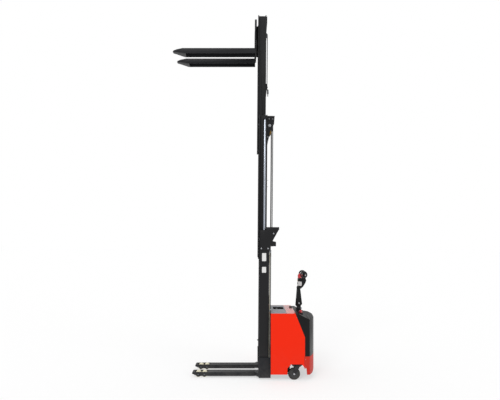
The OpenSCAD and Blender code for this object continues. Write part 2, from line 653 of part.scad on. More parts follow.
// Support leg: an inverted channel with a slotted tip around its two load rollers
module leg(side) color("#303236") placed() translate([0, side * leg_y, 0]) {
    slot_front = roller_front_x - load_roller_d / 2 - 5;
    slot_rear = roller_rear_x + load_roller_d / 2 + 5;
    rear = outer_front - 50;
    half = leg_w / 2;
    lobe_r = load_roller_z - 10;
    difference() {
        block(slot_front, rear, -half, half, leg_top - 6, leg_top);
        block(slot_front - 1, slot_rear, -load_roller_w / 2 - 4, load_roller_w / 2 + 4, leg_top - 7, leg_top + 1);
    }
    block(slot_rear, rear, -half, half, leg_bottom, leg_bottom + 5);
    difference() {
        both_sides() side_plate(half - leg_t, half) {
            polygon([
                [-leg_reach + 12, leg_top], [-leg_reach, leg_top - 14], [-leg_reach + 6, leg_top - 24],
                [slot_front + 12, leg_bottom + 10], [roller_front_x, leg_bottom], [rear, leg_bottom],
                [rear, leg_top]
            ]);
            for (x = [roller_front_x, roller_rear_x])
                translate([x, load_roller_z]) circle(r = lobe_r);
        }
        for (x = [roller_front_x, roller_rear_x]) crossways(x, -half - 1, half + 1, load_roller_z, axle_d);
    }
    // Rounded nose ahead of the rollers
    intersection() {
        side_plate(-half, half) polygon([
            [-leg_reach + 12, leg_top], [-leg_reach, leg_top - 14], [-leg_reach + 6, leg_top - 24],
            [slot_front, leg_bottom + 14], [slot_front, leg_top]
        ]);
        translate([slot_front + half * 0.66, 0, 0]) cylinder(h = leg_top, r = half + 20);
    }
}
module leg_left() leg(-1);
module leg_right() leg(1);

// Load rollers, with a fixed axle each
module load_axles() color("#9b9da0") placed()
    for (side = [-1, 1], x = [roller_front_x, roller_rear_x])
        crossways(x, side * leg_y - leg_w / 2 + 1, side * leg_y + leg_w / 2 - 1, load_roller_z, axle_d - 0.02);
module load_roller(side, x) color("#e9e3c8") placed() difference() {
    crossways(x, side * leg_y - load_roller_w / 2, side * leg_y + load_roller_w / 2, load_roller_z, load_roller_d);
    crossways(x, side * leg_y - 80, side * leg_y + 80, load_roller_z, axle_d + 2 * run_fit);
}
module load_roller_left_front() load_roller(-1, roller_front_x);
module load_roller_left_rear() load_roller(-1, roller_rear_x);
module load_roller_right_front() load_roller(1, roller_front_x);
module load_roller_right_rear() load_roller(1, roller_rear_x);

// Castor: forked swivel and wheel
castor_axle_d = 14;
module castor_fork() color("#222224") placed() translate([0, -castor_y, 0]) {
    crown_z = castor_plate_z - 14;
    cheek_in = castor_w / 2 + 2;
    translate([castor_pivot_x, 0, crown_z]) cylinder(h = castor_plate_z + 14 - crown_z, d = 24);
    translate([castor_pivot_x, 0, crown_z]) cylinder(h = castor_plate_z - crown_z - joint_gap, d = 58);
    block(castor_pivot_x - 40, castor_pivot_x + 26, -cheek_in - 4, cheek_in + 4, crown_z - 8, crown_z + 1);
    both_sides() side_plate(cheek_in, cheek_in + 4) {
        polygon([
            [castor_x - 14, castor_d / 2], [castor_x + 14, castor_d / 2 - 6], [castor_pivot_x + 26, crown_z - 20],
            [castor_pivot_x + 26, crown_z], [castor_pivot_x - 40, crown_z], [castor_x - 14, castor_d / 2 + 20]
        ]);
        translate([castor_x, castor_d / 2]) circle(r = 16);
    }
    crossways(castor_x, -cheek_in - 9, cheek_in + 9, castor_d / 2, castor_axle_d);
}
module castor_wheel() color("#2c2b29") placed() difference() {
    crossways(castor_x, -castor_y - castor_w / 2, -castor_y + castor_w / 2, castor_d / 2, castor_d);
    for (s = [-1, 1]) crossways(castor_x, -castor_y + s * castor_w / 2 - 6, -castor_y + s * castor_w / 2 + 6,
        castor_d / 2, castor_d - 44);
    crossways(castor_x, -castor_y - 60, -castor_y + 60, castor_d / 2, castor_axle_d + 2 * run_fit);
}

// Drive unit: turntable, gearbox, vertical motor and steering sprocket
sprocket_z = deck_z + deck_t + 14;
sprocket_d = 170;
motor_d = 150;
drive_axle_d = 50;
module drive_unit() color("#4a4c50") placed() translate([drive_x, drive_y, 0]) {
    gear_side = drive_w / 2 + 4;
    translate([0, 0, drive_d + 8]) cylinder(h = deck_z + deck_t - drive_d - 8 + joint_gap, d = turntable_d);
    translate([0, 0, deck_z + deck_t + joint_gap]) cylinder(h = 8, d = turntable_d + 30);
    translate([0, 0, sprocket_z]) cylinder(h = 8, d = sprocket_d);
    translate([0, 0, deck_z + deck_t + 7]) cylinder(h = 218, d = motor_d);
    translate([0, 0, deck_z + deck_t + 222]) cylinder(h = 22, d = motor_d - 40);
    block(-50, 50, -gear_side - 40, -gear_side, 60, drive_d + 60);
    crossways(0, -gear_side - 40, -gear_side, drive_d / 2, 118);
    crossways(0, -gear_side - 1, drive_w / 2 - 8, drive_d / 2, drive_axle_d);
}
module drive_wheel() color("#5a3a24") placed() difference() {
    crossways(drive_x, drive_y - drive_w / 2, drive_y + drive_w / 2, drive_d / 2, drive_d);
    crossways(drive_x, drive_y + drive_w / 2 - 14, drive_y + drive_w / 2 + 1, drive_d / 2, drive_d - 60);
    crossways(drive_x, drive_y - drive_w, drive_y + drive_w, drive_d / 2, drive_axle_d + 2 * run_fit);
}

// Chain that turns the drive unit with the tiller column, one to one
module steering_chain() color("#77797c") placed() {
    r_in = sprocket_d / 2 + 0.4;
    r_out = r_in + 7;
    z0 = sprocket_z + 1;
    difference() {
        union() {
            for (y = [0, drive_y]) translate([drive_x, y, z0]) cylinder(h = 6, r = r_out);
            block(drive_x - r_out, drive_x + r_out, 0, drive_y, z0, z0 + 6);
        }
        for (y = [0, drive_y]) translate([drive_x, y, z0 - 1]) cylinder(h = 8, r = r_in);
        block(drive_x - r_in, drive_x + r_in, 0, drive_y, z0 - 1, z0 + 7);
    }
}

// Tiller: column with a clevis, hollow arm, head with its controls
ear_in = 26;
ear_out = 36;
arm_wall = 5;
arm_half = ear_out + 1 + arm_wall;
pivot_d = 16;
clevis_z = tiller_pivot_z - 80;
module tiller_column() color("#232326") placed() translate([tiller_x, 0, 0]) {
    translate([0, 0, deck_z - 6]) cylinder(h = clevis_z - deck_z + 6, d = column_d);
    translate([0, 0, sprocket_z]) cylinder(h = 8, d = sprocket_d);
    translate([0, 0, clevis_z]) cylinder(h = 10, d = 92);
    difference() {
        both_sides() side_plate(ear_in, ear_out) {
            translate([-28, clevis_z + 9]) square([56, 71]);
            translate([0, tiller_pivot_z]) circle(r = 28);
        }
        crossways(0, -ear_out - 1, ear_out + 1, tiller_pivot_z, pivot_d + 2 * run_fit);
    }
}
module tiller_arm() color("#1f1f21") placed() translate([tiller_x, 0, tiller_pivot_z]) {
    difference() {
        side_plate(-arm_half, arm_half) polygon([
            [-46, -41], [-18, -46], [18, -42], [46, -14], [20, 206], [-26, 206]
        ]);
        block(-80, 80, -ear_out - 1, ear_out + 1, -60, 62);
    }
    crossways(0, -arm_half + 1, arm_half - 1, 0, pivot_d);
}

// Sizes of the head are counted from the tiller pivot
ring_x = 62;
ring_z = 415;
ring_r = 41;
ring_tube = 23;
ring_y = 104;
head_half = 38;
throttle_x = 34;
throttle_z = 332;
button_face = -14;
plunger_x = 16;
module at_pivot() placed() translate([tiller_x, 0, tiller_pivot_z]) children();
module tiller_head() color("#232425") at_pivot() {
    difference() {
        side_plate(-head_half, head_half) polygon([
            [-26, 206], [-30, 226], [button_face - 2, 246], [button_face - 2, 352], [54, 356], [92, 372],
            [107, 328], [91, 285], [58, 232], [24, 206]
        ]);
        crossways(throttle_x, -head_half - 1, head_half + 1, throttle_z, 14 + 2 * run_fit);
        for (y = [-18, 18]) translate([button_face - 3, y, 284]) rotate([0, 90, 0]) cylinder(h = 14, d = 16.6);
        translate([button_face - 3, 0, 328]) rotate([0, 90, 0]) cylinder(h = 14, d = 20.6);
        translate([plunger_x, 0, 316]) cylinder(h = 60, d = 12 + 2 * run_fit);
    }
    // Cross grips and their side rings
    both_sides() {
        side_plate(ring_y - ring_tube / 2, ring_y + ring_tube / 2) translate([ring_x, ring_z]) difference() {
            circle(r = ring_r + ring_tube / 2);
            circle(r = ring_r - ring_tube / 2);
        }
        crossways(ring_x + 26, 0, ring_y, ring_z - ring_r + 9, 20);
        crossways(ring_x, 0, ring_y, ring_z + ring_r, ring_tube - 0.5);
    }
    side_plate(-16, 16) polygon([
        [52, 356], [92, 360], [88, 392], [76, 460], [52, 462]
    ]);
}
module throttle() color("#2a2a2a") at_pivot() {
    crossways(throttle_x, -head_half - 8, head_half + 8, throttle_z, 14);
    both_sides() {
        crossways(throttle_x, head_half + 1, head_half + 24, throttle_z, 34);
        block(throttle_x - 38, throttle_x, head_half + 3, head_half + 22, throttle_z - 7, throttle_z + 7);
    }
}
module belly_button() color("#b3202a") at_pivot() {
    side_plate(-32, 32) polygon([
        [button_face, 358], [50, 362], [50, 408], [34, 428], [6, 424], [button_face, 402]
    ]);
    translate([plunger_x, 0, 326]) cylinder(h = 40, d = 12);
}
module push_button(y, z, d) color("#d8d8d8") at_pivot()
    translate([button_face - 7, y, z]) rotate([0, 90, 0]) cylinder(h = 14, d = d);
module horn_button() push_button(0, 328, 20);
module lift_button() push_button(-18, 284, 16);
module lower_button() push_button(18, 284, 16);

// Controls on the body
stop_x = tiller_x + 8;
stop_y = -205;
key_x = cut_top_x - 28;
key_bore = 14;
module key_switch() color("#b9bbbe") placed() translate([key_x, 70, body_top]) {
    translate([0, 0, -20]) cylinder(h = 22, d = key_bore - 2 * run_fit);
    translate([0, 0, 0.4]) cylinder(h = 6, d = 22);
    block(-2, 2, -11, 11, 6, 26);
}
module emergency_stop() color("#d4261f") placed() translate([stop_x, stop_y, 0]) {
    translate([0, 0, cover_top + 12]) cylinder(h = 16, d = 40);
    translate([0, 0, cover_top + 2]) cylinder(h = 11, d = 22);
}
module instrument() color("#27444a") placed() {
    block(cut_top_x - 46, cut_top_x - 8, 110, 210, body_top + 0.4, body_top + 14);
    difference() {
        translate([stop_x, stop_y, cover_top + 0.4]) cylinder(h = 6, d = 56);
        translate([stop_x, stop_y, cover_top]) cylinder(h = 8, d = 23);
    }
}

// Covers
panel_outline = [
    [body_front, body_bottom], [body_front, body_top], [cut_top_x - 14, body_top], [cut_top_x, body_top - 12],
    [cut_low_x, cut_low_z], [cut_low_x, cover_low_z], [cut_low_x - 10, cover_low_z], [cut_low_x - 10, arch_top - 40],
    [cut_low_x - 22, arch_top - 24], [cut_low_x - 44, arch_top], [arch_x + 52, arch_top],
    [arch_x + 2, arch_top - 54], [arch_x, body_bottom]
];
module side_panel(side) color("#e8381a") placed() {
    y0 = side < 0 ? -body_half : body_half - panel_t;
    side_plate(y0, y0 + panel_t) polygon(panel_outline);
    f0 = side < 0 ? -body_half + panel_t - 1 : mast_half_w + 12;
    f1 = side < 0 ? -mast_half_w - 12 : body_half - panel_t + 1;
    block(body_front, body_front + panel_t, f0, f1, body_bottom, body_top - 60);
    // Ledge under the battery lid
    l0 = side < 0 ? -body_half + panel_t - 1 : body_half - panel_t - 16;
    block(body_front + 14, body_front + lid_len - 6, l0, l0 + 17, body_top - 30, body_top - 22.4);
}
module side_panel_left() side_panel(-1);
module side_panel_right() side_panel(1);
module top_panel() color("#d85a50") placed() {
    y = body_half - panel_t - 0.3;
    difference() {
        block(body_front + lid_len + 2, cut_top_x - 0.4, -y, y, body_top - panel_t, body_top);
        translate([key_x, 70, body_top - 6]) cylinder(h = 8, d = key_bore);
    }
    block(body_front + lid_len + 2, body_front + lid_len + 2 + panel_t, -y, y, body_top - 60, body_top - 1);
    both_sides() block(body_front + lid_len + 5, cut_top_x - 18, y - panel_t, y, body_top - 40, body_top - 1);
}
crown = 16;
module battery_lid() color("#9698a4") placed() {
    y = body_half - panel_t - 0.5;
    x0 = body_front + 6;
    x1 = body_front + lid_len;
    section = [
        [-y, body_top - 22], [-y, body_top], [-y / 2, body_top + crown], [y / 2, body_top + crown], [y, body_top],
        [y, body_top - 22], [y - panel_t, body_top - 22], [y - panel_t, body_top - panel_t],
        [y / 2, body_top + crown - panel_t], [-y / 2, body_top + crown - panel_t],
        [-y + panel_t, body_top - panel_t], [-y + panel_t, body_top - 22]
    ];
    difference() {
        translate([x0, 0, 0]) rotate([90, 0, 90]) linear_extrude(x1 - x0) polygon(section);
        block(x0 + 44, x1 - 18, -104, 104, body_top, body_top + crown + 1);
    }
    // Dished handle with its grip bar
    difference() {
        block(x0 + 40, x1 - 14, -108, 108, body_top - 18, body_top + crown - 1);
        block(x0 + 44, x1 - 18, -104, 104, body_top - 14, body_top + crown);
    }
    block(x0 + 84, x0 + 108, -105, 105, body_top - 8, body_top + 6);
}
cover_top = body_top - 12;
seam = 0.8;
module bay_plan(inset, front) {
    half = body_half - inset;
    chord = body_half;
    arc_r = (chord * chord + rear_bulge * rear_bulge) / (2 * rear_bulge);
    intersection() {
        translate([front, -half]) square([rear_x - front, 2 * half]);
        translate([rear_x - arc_r, 0]) circle(r = arc_r - inset, $fn = 360);
    }
}
// Stations of the cover's crown along the body: place, depth of the ridge and of the side edges below the top
crown_stations = [
    [cut_top_x - 70, 0, 0], [cut_top_x + 51, 0, 0], [rear_x - 142, 8, 49], [rear_x - 84, 17, 79],
    [rear_x - 54, 30, 92], [rear_x - 25, 46, 105], [rear_x - 8, 64, 116], [rear_x + 10, 130, 150]
];
module hood(wall) {
    low = cover_low_z - 20;
    n = len(crown_stations);
    half = body_half + 5;
    points = [for (s = crown_stations) each [
        [s[0], -half, low], [s[0], -half, cover_top - wall - s[2]], [s[0], 0, cover_top - wall - s[1]],
        [s[0], half, cover_top - wall - s[2]], [s[0], half, low]
    ]];
    skin = [for (i = [0:n - 2]) each [
        [5 * i, 5 * i + 1, 5 * i + 6, 5 * i + 5], [5 * i + 1, 5 * i + 2, 5 * i + 6],
        [5 * i + 2, 5 * i + 7, 5 * i + 6], [5 * i + 2, 5 * i + 3, 5 * i + 8], [5 * i + 2, 5 * i + 8, 5 * i + 7],
        [5 * i + 3, 5 * i + 4, 5 * i + 9, 5 * i + 8], [5 * i + 4, 5 * i, 5 * i + 5, 5 * i + 9]
    ]];
    ends = [[4, 3, 2, 1, 0], [5 * n - 5, 5 * n - 4, 5 * n - 3, 5 * n - 2, 5 * n - 1]];
    polyhedron(points = points, faces = concat(skin, ends));
}
module cover_profile() polygon([
    [cut_top_x + seam, body_top - 13], [cut_top_x + seam, cover_top + 1], [rear_x + 9, cover_top + 1],
    [rear_x + 9, cover_low_z + 40], [rear_x - 24, cover_low_z],
    [cut_low_x + seam, cover_low_z], [cut_low_x + seam, cut_low_z]
]);
module cover_hollow(wall, open_x) polygon([
    [open_x, cover_low_z - 5], [open_x, cover_top + 1], [rear_x + 9, cover_top + 1],
    [rear_x + 9, cover_low_z + 40], [rear_x - 24 - wall, cover_low_z], [rear_x - 24 - wall, cover_low_z - 5]
]);
module rear_cover() color("#242426") placed() {
    open_x = cut_top_x - 60;
    difference() {
        union() {
            difference() {
                intersection() {
                    translate([0, 0, cover_low_z]) linear_extrude(cover_top - cover_low_z + 1) bay_plan(0, cut_top_x);
                    side_plate(-body_half, body_half) cover_profile();
                    hood(0);
                }
                intersection() {
                    translate([0, 0, cover_low_z - 5]) linear_extrude(cover_top - cover_low_z) bay_plan(cover_t, open_x);
                    side_plate(-body_half, body_half) cover_hollow(cover_t, open_x);
                    hood(cover_t);
                }
            }
            // Seat of the emergency stop
            translate([stop_x, stop_y, cover_top - 30]) cylinder(h = 30, d = 64);
        }
        translate([tiller_x, 0, cover_top - 60]) cylinder(h = 80, d = 110);
        translate([stop_x, stop_y, cover_top - 31]) cylinder(h = 60, d = 24);
    }
}
module lower_guard() color("#c9281c") placed() {
    gap = 0.4;
    difference() {
        intersection() {
            translate([0, 0, body_bottom]) linear_extrude(cover_low_z - gap - body_bottom) bay_plan(0, cut_low_x - 9.6);
            side_plate(-body_half, body_half) union() {
                polygon([
                    [cut_low_x - 9.6, arch_top - 54], [cut_low_x + 20, arch_top - 54], [cut_low_x + 26, body_bottom],
                    [rear_x - 42, body_bottom], [rear_x - 12, body_bottom + 26], [rear_x + 10, body_bottom + 80],
                    [rear_x + 10, cover_low_z], [cut_low_x - 9.6, cover_low_z]
                ]);
            }
        }
        translate([0, 0, body_bottom - 1]) linear_extrude(cover_low_z) bay_plan(panel_t, cut_low_x - 20);
    }
    // Bracket that hangs the guard from the deck
    block(rear_x - 44, rear_x - 31, -58, 58, deck_z - 15, deck_z);
    block(rear_x - 44, rear_x - panel_t + 1, -58, 58, deck_z - 15, cover_low_z - 2);
}

// Inside the body
battery_half = castor_y - sqrt(pow(castor_swing, 2) - pow(castor_pivot_x - battery_rear, 2)) - 4;
module battery() color("#3a3d42") placed() {
    block(battery_front, battery_rear, -battery_half, battery_half, floor_z + floor_t, floor_z + floor_t + 560);
    for (y = [-220, 220]) translate([(battery_front + battery_rear) / 2, y, floor_z + floor_t + 560])
        cylinder(h = 22, d = 26);
}
module power_pack() color("#55585c") placed() {
    z = deck_z + deck_t;
    block(bulkhead_x + 30, bulkhead_x + 200, -330, -150, z, z + 150);
    translate([bulkhead_x + 115, -240, z + 149]) cylinder(h = 30, d = 120);
    translate([bulkhead_x + 115, -240, z + 178]) cylinder(h = 170, d = 104);
    block(bulkhead_x + 40, bulkhead_x + 90, -150, -120, z, z + 70);
}
module controller() color("#8b8e92") placed() {
    block(bulkhead_x + 8, bulkhead_x + 64, 110, 330, deck_z + 260, deck_z + 440);
    for (y = [140, 180, 220, 260, 300]) block(bulkhead_x + 63, bulkhead_x + 76, y - 4, y + 4, deck_z + 270, deck_z + 430);
}

outer_mast();
middle_mast();
inner_mast();
fork_carriage();
fork_left();
fork_right();
outer_top_rollers();
middle_foot_rollers();
middle_top_rollers();
inner_foot_rollers();
carriage_lower_rollers();
carriage_upper_rollers();
lift_barrels();
lift_rods();
freelift_barrel();
freelift_rod();
main_sheaves();
hose_pulley();
freelift_sheave();
main_chains_rear();
main_chains_front();
freelift_chain_rear();
freelift_chain_front();
lift_hose_rear();
lift_hose_front();
mast_pipes();
mast_bolts();
chassis();
leg_left();
leg_right();
load_axles();
load_roller_left_front();
load_roller_left_rear();
load_roller_right_front();
load_roller_right_rear();
castor_fork();
castor_wheel();
drive_unit();
drive_wheel();
steering_chain();
tiller_column();
tiller_arm();
tiller_head();
throttle();
belly_button();
horn_button();
lift_button();
lower_button();
key_switch();
emergency_stop();
instrument();
side_panel_left();
side_panel_right();
top_panel();
battery_lid();
rear_cover();
lower_guard();
battery();
power_pack();
controller();
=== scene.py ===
"""Looks of a walkie stacker: finishes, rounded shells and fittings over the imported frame."""

import logging
import math
from collections.abc import Sequence
from dataclasses import dataclass, field
from enum import Enum

import bmesh
import bpy
from mathutils import Matrix, Vector


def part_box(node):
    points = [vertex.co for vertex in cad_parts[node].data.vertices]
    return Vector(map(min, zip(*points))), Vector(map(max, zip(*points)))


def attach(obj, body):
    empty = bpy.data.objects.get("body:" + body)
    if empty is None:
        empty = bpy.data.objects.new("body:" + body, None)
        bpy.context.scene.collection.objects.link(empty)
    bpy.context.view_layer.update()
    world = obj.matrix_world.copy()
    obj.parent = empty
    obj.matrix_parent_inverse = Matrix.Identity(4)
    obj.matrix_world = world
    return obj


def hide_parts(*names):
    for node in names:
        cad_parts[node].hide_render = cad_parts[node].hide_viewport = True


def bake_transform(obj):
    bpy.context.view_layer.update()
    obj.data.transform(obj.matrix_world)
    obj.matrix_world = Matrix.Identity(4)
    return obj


logging.basicConfig(level=logging.INFO, format="%(name)s: %(message)s")
LOG = logging.getLogger("stacker")

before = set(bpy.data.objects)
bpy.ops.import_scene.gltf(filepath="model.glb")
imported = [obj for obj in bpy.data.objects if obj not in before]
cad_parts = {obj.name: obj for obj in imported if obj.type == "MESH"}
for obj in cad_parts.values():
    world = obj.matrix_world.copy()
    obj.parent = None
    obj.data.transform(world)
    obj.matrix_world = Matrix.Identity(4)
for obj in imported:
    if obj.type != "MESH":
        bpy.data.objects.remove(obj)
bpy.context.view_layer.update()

MM = 0.001
RAKE = math.radians(0.42)
SHIFT = 0.086185
MACHINE = Matrix.Translation((SHIFT, 0.0, 0.0))
MAST = MACHINE @ Matrix.Rotation(RAKE, 4, "Y")

# Places and sizes that several pieces share, in millimetres along the machine or up the mast.
OUTER_TOP = 2057.0
MAIN_ANCHOR_Z = OUTER_TOP - 162
GUSSET_LOW = OUTER_TOP - 283
BODY_TOP = 914.0
MAIN_SHEAVE_X, MAIN_SHEAVE_Y, MAIN_SHEAVE_Z, MAIN_SHEAVE_R = 251.0, 185.0, 3527.0, 45.0
FREE_SHEAVE_X, FREE_SHEAVE_Z, FREE_SHEAVE_R = 176.0, 4875.0, 40.0
FREE_ANCHOR_Z, CARRIAGE_ANCHOR_Z = 4126.0, 4640.0
HOSE_PULLEY_X, HOSE_PULLEY_Z, HOSE_PULLEY_R = 246.0, 3445.0, 30.0
HOSE_Y, LIFT_HOSE_FOOT, INNER_HOSE_FOOT = -145.0, 1720.0, 3306.0
LOAD_ROLLER_Y, LOAD_ROLLER_R = 194.0, 40.0
LOAD_ROLLER_X = {"front": -724.0, "rear": -637.0}
CASTOR_X, CASTOR_Y, CASTOR_R = 606.0, -354.0, 82.0
DRIVE_X, DRIVE_Y, DRIVE_R = 705.0, 280.0, 105.0

Point = tuple[float, float, float]
Outline = Sequence[tuple[float, float]]


# ---------------------------------------------------------------- finishes


class Grain(Enum):
    """What the fine relief of a finish is."""

    ORANGE_PEEL = "orange peel of sprayed paint"
    MOULDED = "fine moulded grain"
    TURNED = "turning marks"
    DRAWN = "lengthwise drawing marks"
    SMOOTH = "polished"
    RIBBED = "wrapped hose cover"


DUST_COLOUR = "#8f8b84"
GRAIN_SOCKET = {
    Grain.ORANGE_PEEL: "Peel", Grain.MOULDED: "Moulded", Grain.TURNED: "Turned", Grain.DRAWN: "Drawn",
    Grain.RIBBED: "Ribbed"
}


def linear(hex_colour: str) -> tuple[float, float, float, float]:
    """Turns a written colour into the renderer's linear one.

    Args:
        hex_colour: Colour as "#rrggbb".

    Returns:
        Red, green, blue and alpha in linear light.
    """
    values = [int(hex_colour[i : i + 2], 16) / 255 for i in (1, 3, 5)]
    out = [v / 12.92 if v <= 0.04045 else ((v + 0.055) / 1.055) ** 2.4 for v in values]
    return (out[0], out[1], out[2], 1.0)


# Sockets of the mix node that carry colours.
MIX_A, MIX_B, MIX_OUT = 6, 7, 2


def node_of(tree: bpy.types.NodeTree, kind: str) -> bpy.types.Node:
    """Returns the node of a kind that a new tree starts with."""
    return next(n for n in tree.nodes if n.type == kind)


class Graph:
    """A node tree with a short way of adding and joining nodes."""

    def __init__(self, tree: bpy.types.NodeTree) -> None:
        """Wraps a node tree.

        Args:
            tree: Tree to add nodes to.
        """
        self.tree = tree

    def add(self, kind: str, inputs: dict | None = None, **settings: object) -> bpy.types.Node:
        """Adds a node, sets its properties and fills its inputs.

        Args:
            kind: Node type.
            inputs: Values or output sockets by input name or number.
            **settings: Properties of the node.

        Returns:
            The new node.
        """
        node = self.tree.nodes.new(kind)
        for key, value in settings.items():
            setattr(node, key, value)
        for key, value in (inputs or {}).items():
            self.feed(node, key, value)
        return node

    def feed(self, node: bpy.types.Node, key: str | int, value: object) -> None:
        """Links a socket to an input, or sets the input's value.

        Args:
            node: Node that takes it.
            key: Name or number of the input.
            value: Output socket or plain value.
        """
        if isinstance(value, bpy.types.NodeSocket):
            self.tree.links.new(value, node.inputs[key])
        else:
            node.inputs[key].default_value = value

    def group(self, tree: bpy.types.NodeTree, inputs: dict) -> bpy.types.Node:
        """Places a node group and fills its inputs.

        Args:
            tree: The group's own tree.
            inputs: Values or sockets by input name.

        Returns:
            The group node.
        """
        return self.add("ShaderNodeGroup", inputs, node_tree=tree)

    def math(self, operation: str, a: object, b: object = 0.0) -> bpy.types.NodeSocket:
        """Adds a clamped math node and returns its output."""
        return self.add("ShaderNodeMath", {0: a, 1: b}, operation=operation, use_clamp=True).outputs[0]

    def mix(self, factor: object, a: object, b: object) -> bpy.types.NodeSocket:
        """Adds a colour mix node and returns its colour output."""
        inputs = {"Factor": factor, MIX_A: a, MIX_B: b}
        return self.add("ShaderNodeMix", inputs, data_type="RGBA").outputs[MIX_OUT]

    def place(self, kind: str = "Object") -> bpy.types.NodeSocket:
        """Adds the coordinates of the given kind and returns their output."""
        return self.add("ShaderNodeTexCoord").outputs[kind]


def new_group(
    name: str, inputs: dict[str, tuple[str, object]], outputs: dict[str, str]
) -> tuple[bpy.types.NodeTree, Graph, bpy.types.Node, bpy.types.Node]:
    """Makes an empty shader node group with named sockets.

    Args:
        name: Name of the group.
        inputs: Socket type and default value by name.
        outputs: Socket type by name.

    Returns:
        The tree, its graph, and its input and output nodes.
    """
    tree = bpy.data.node_groups.new(name, "ShaderNodeTree")
    for label, (kind, value) in inputs.items():
        socket = tree.interface.new_socket(label, in_out="INPUT", socket_type="NodeSocket" + kind)
        socket.default_value = value
    for label, kind in outputs.items():
        tree.interface.new_socket(label, in_out="OUTPUT", socket_type="NodeSocket" + kind)
    graph = Graph(tree)
    return tree, graph, graph.add("NodeGroupInput"), graph.add("NodeGroupOutput")


class EffectLibrary:
    """Shader effects that several finishes share, each built once."""

    def __init__(self) -> None:
        """Builds every shared effect."""
        self.tone = self._tone()
        self.edge = self._edge_wear_and_highlight()
        self.grain = self._grain()
        self.dust = self._dust()

    @staticmethod
    def _tone() -> bpy.types.NodeTree:
        """Builds the slow change of colour and gloss over a sheet.

        Returns:
            Group with Colour and Gloss outputs.
        """
        tree, g, src, out = new_group(
            "slow tone",
            {
                "Colour": ("Color", (0.5, 0.5, 0.5, 1)), "Amount": ("Float", 0.1), "Scale": ("Float", 3.0),
                "Roughness": ("Float", 0.4)
            },
            {"Colour": "Color", "Roughness": "Float"},
        )
        place = g.place()
        slow = g.add(
            "ShaderNodeTexNoise",
            {"Vector": place, "Scale": src.outputs["Scale"], "Detail": 4.0, "Roughness": 0.6}
        )
        fine = g.add("ShaderNodeTexNoise", {"Vector": place, "Scale": 240.0, "Detail": 2.0})
        both = g.math("MULTIPLY_ADD", slow.outputs[0], 0.75)
        g.feed(both.node, 2, g.math("MULTIPLY", fine.outputs[0], 0.25))
        dark = g.mix(1.0, src.outputs["Colour"], (0.45, 0.45, 0.45, 1))
        dark.node.blend_type = "MULTIPLY"
        share = g.math("MULTIPLY", both, src.outputs["Amount"])
        g.feed(out, "Colour", g.mix(share, src.outputs["Colour"], dark))
        swing = g.math("MULTIPLY", g.math("SUBTRACT", both, 0.35), 0.35)
        g.feed(out, "Roughness", g.math("ADD", src.outputs["Roughness"], swing))
        return tree

    @staticmethod
    def _edge_wear_and_highlight() -> bpy.types.NodeTree:
        """Builds a mask of lighter outer edges, partly worn paint and partly painted highlight, and the
        rounded normal that goes with it.

        Returns:
            Group with Mask and Normal outputs.
        """
        tree, g, src, out = new_group(
            "worn and highlighted edge",
            {"Radius": ("Float", 0.002), "Amount": ("Float", 0.5)},
            {"Mask": "Float", "Normal": "Vector"},
        )
        soft = g.add("ShaderNodeBevel", {"Radius": src.outputs["Radius"]}, samples=4)
        flat = g.add("ShaderNodeNewGeometry").outputs["Normal"]
        dot = g.add(
            "ShaderNodeVectorMath", {0: soft.outputs[0], 1: flat}, operation="DOT_PRODUCT"
        ).outputs["Value"]
        bend = g.math("MULTIPLY", g.math("SUBTRACT", 1.0, dot), 5.0)
        place = g.place()
        patch = g.add(
            "ShaderNodeTexNoise", {"Vector": place, "Scale": 26.0, "Detail": 5.0, "Roughness": 0.7}
        )
        broken = g.math("MULTIPLY", g.math("SUBTRACT", patch.outputs[0], 0.46), 7.0)
        g.feed(out, "Mask", g.math("MULTIPLY", g.math("MULTIPLY", bend, broken), src.outputs["Amount"]))
        g.feed(out, "Normal", soft.outputs[0])
        return tree

    @staticmethod
    def _grain() -> bpy.types.NodeTree:
        """Builds the heights of the fine reliefs.

        Returns:
            Group with one output per relief.
        """
        tree, g, src, out = new_group(
            "fine relief",
            {"Scale": ("Float", 1.0)},
            dict.fromkeys(GRAIN_SOCKET.values(), "Float"),
        )
        place = g.place()
        grown = g.add("ShaderNodeVectorMath", {0: place}, operation="SCALE")
        g.feed(grown, "Scale", src.outputs["Scale"])
        at = grown.outputs[0]
        peel = g.add("ShaderNodeTexNoise", {"Vector": at, "Scale": 420.0, "Detail": 2.0, "Roughness": 0.5})
        g.feed(out, "Peel", peel.outputs[0])
        cells = g.add("ShaderNodeTexVoronoi", {"Vector": at, "Scale": 900.0}, feature="F1")
        g.feed(out, "Moulded", cells.outputs["Distance"])
        for label, stretch in (("Turned", (260.0, 40.0, 260.0)), ("Drawn", (700.0, 700.0, 6.0))):
            long = g.add("ShaderNodeVectorMath", {0: at, 1: stretch}, operation="MULTIPLY").outputs[0]
            lines = g.add("ShaderNodeTexNoise", {"Vector": long, "Scale": 1.0, "Detail": 3.0})
            g.feed(out, label, lines.outputs[0])
        wave = g.add(
            "ShaderNodeTexWave", {"Vector": at, "Scale": 95.0, "Distortion": 0.6, "Detail": 1.0},
            bands_direction="DIAGONAL"
        )
        g.feed(out, "Ribbed", wave.outputs["Fac"])
        return tree

    @staticmethod
    def _dust() -> bpy.types.NodeTree:
        """Builds the mask of workshop dust that lies thicker near the floor.

        Returns:
            Group with a Mask output.
        """
        tree, g, src, out = new_group(
            "floor dust", {"Height": ("Float", 0.4), "Amount": ("Float", 0.1)}, {"Mask": "Float"}
        )
        place = g.place()
        level = g.add("ShaderNodeSeparateXYZ", {0: place}).outputs["Z"]
        share = g.math("SUBTRACT", 1.0, g.math("DIVIDE", level, src.outputs["Height"]))
        cloud = g.add(
            "ShaderNodeTexNoise", {"Vector": place, "Scale": 14.0, "Detail": 6.0, "Roughness": 0.65}
        )
        spread = g.math("MULTIPLY", g.math("SUBTRACT", cloud.outputs[0], 0.3), 2.0)
        g.feed(out, "Mask", g.math("MULTIPLY", g.math("MULTIPLY", share, spread), src.outputs["Amount"]))
        return tree


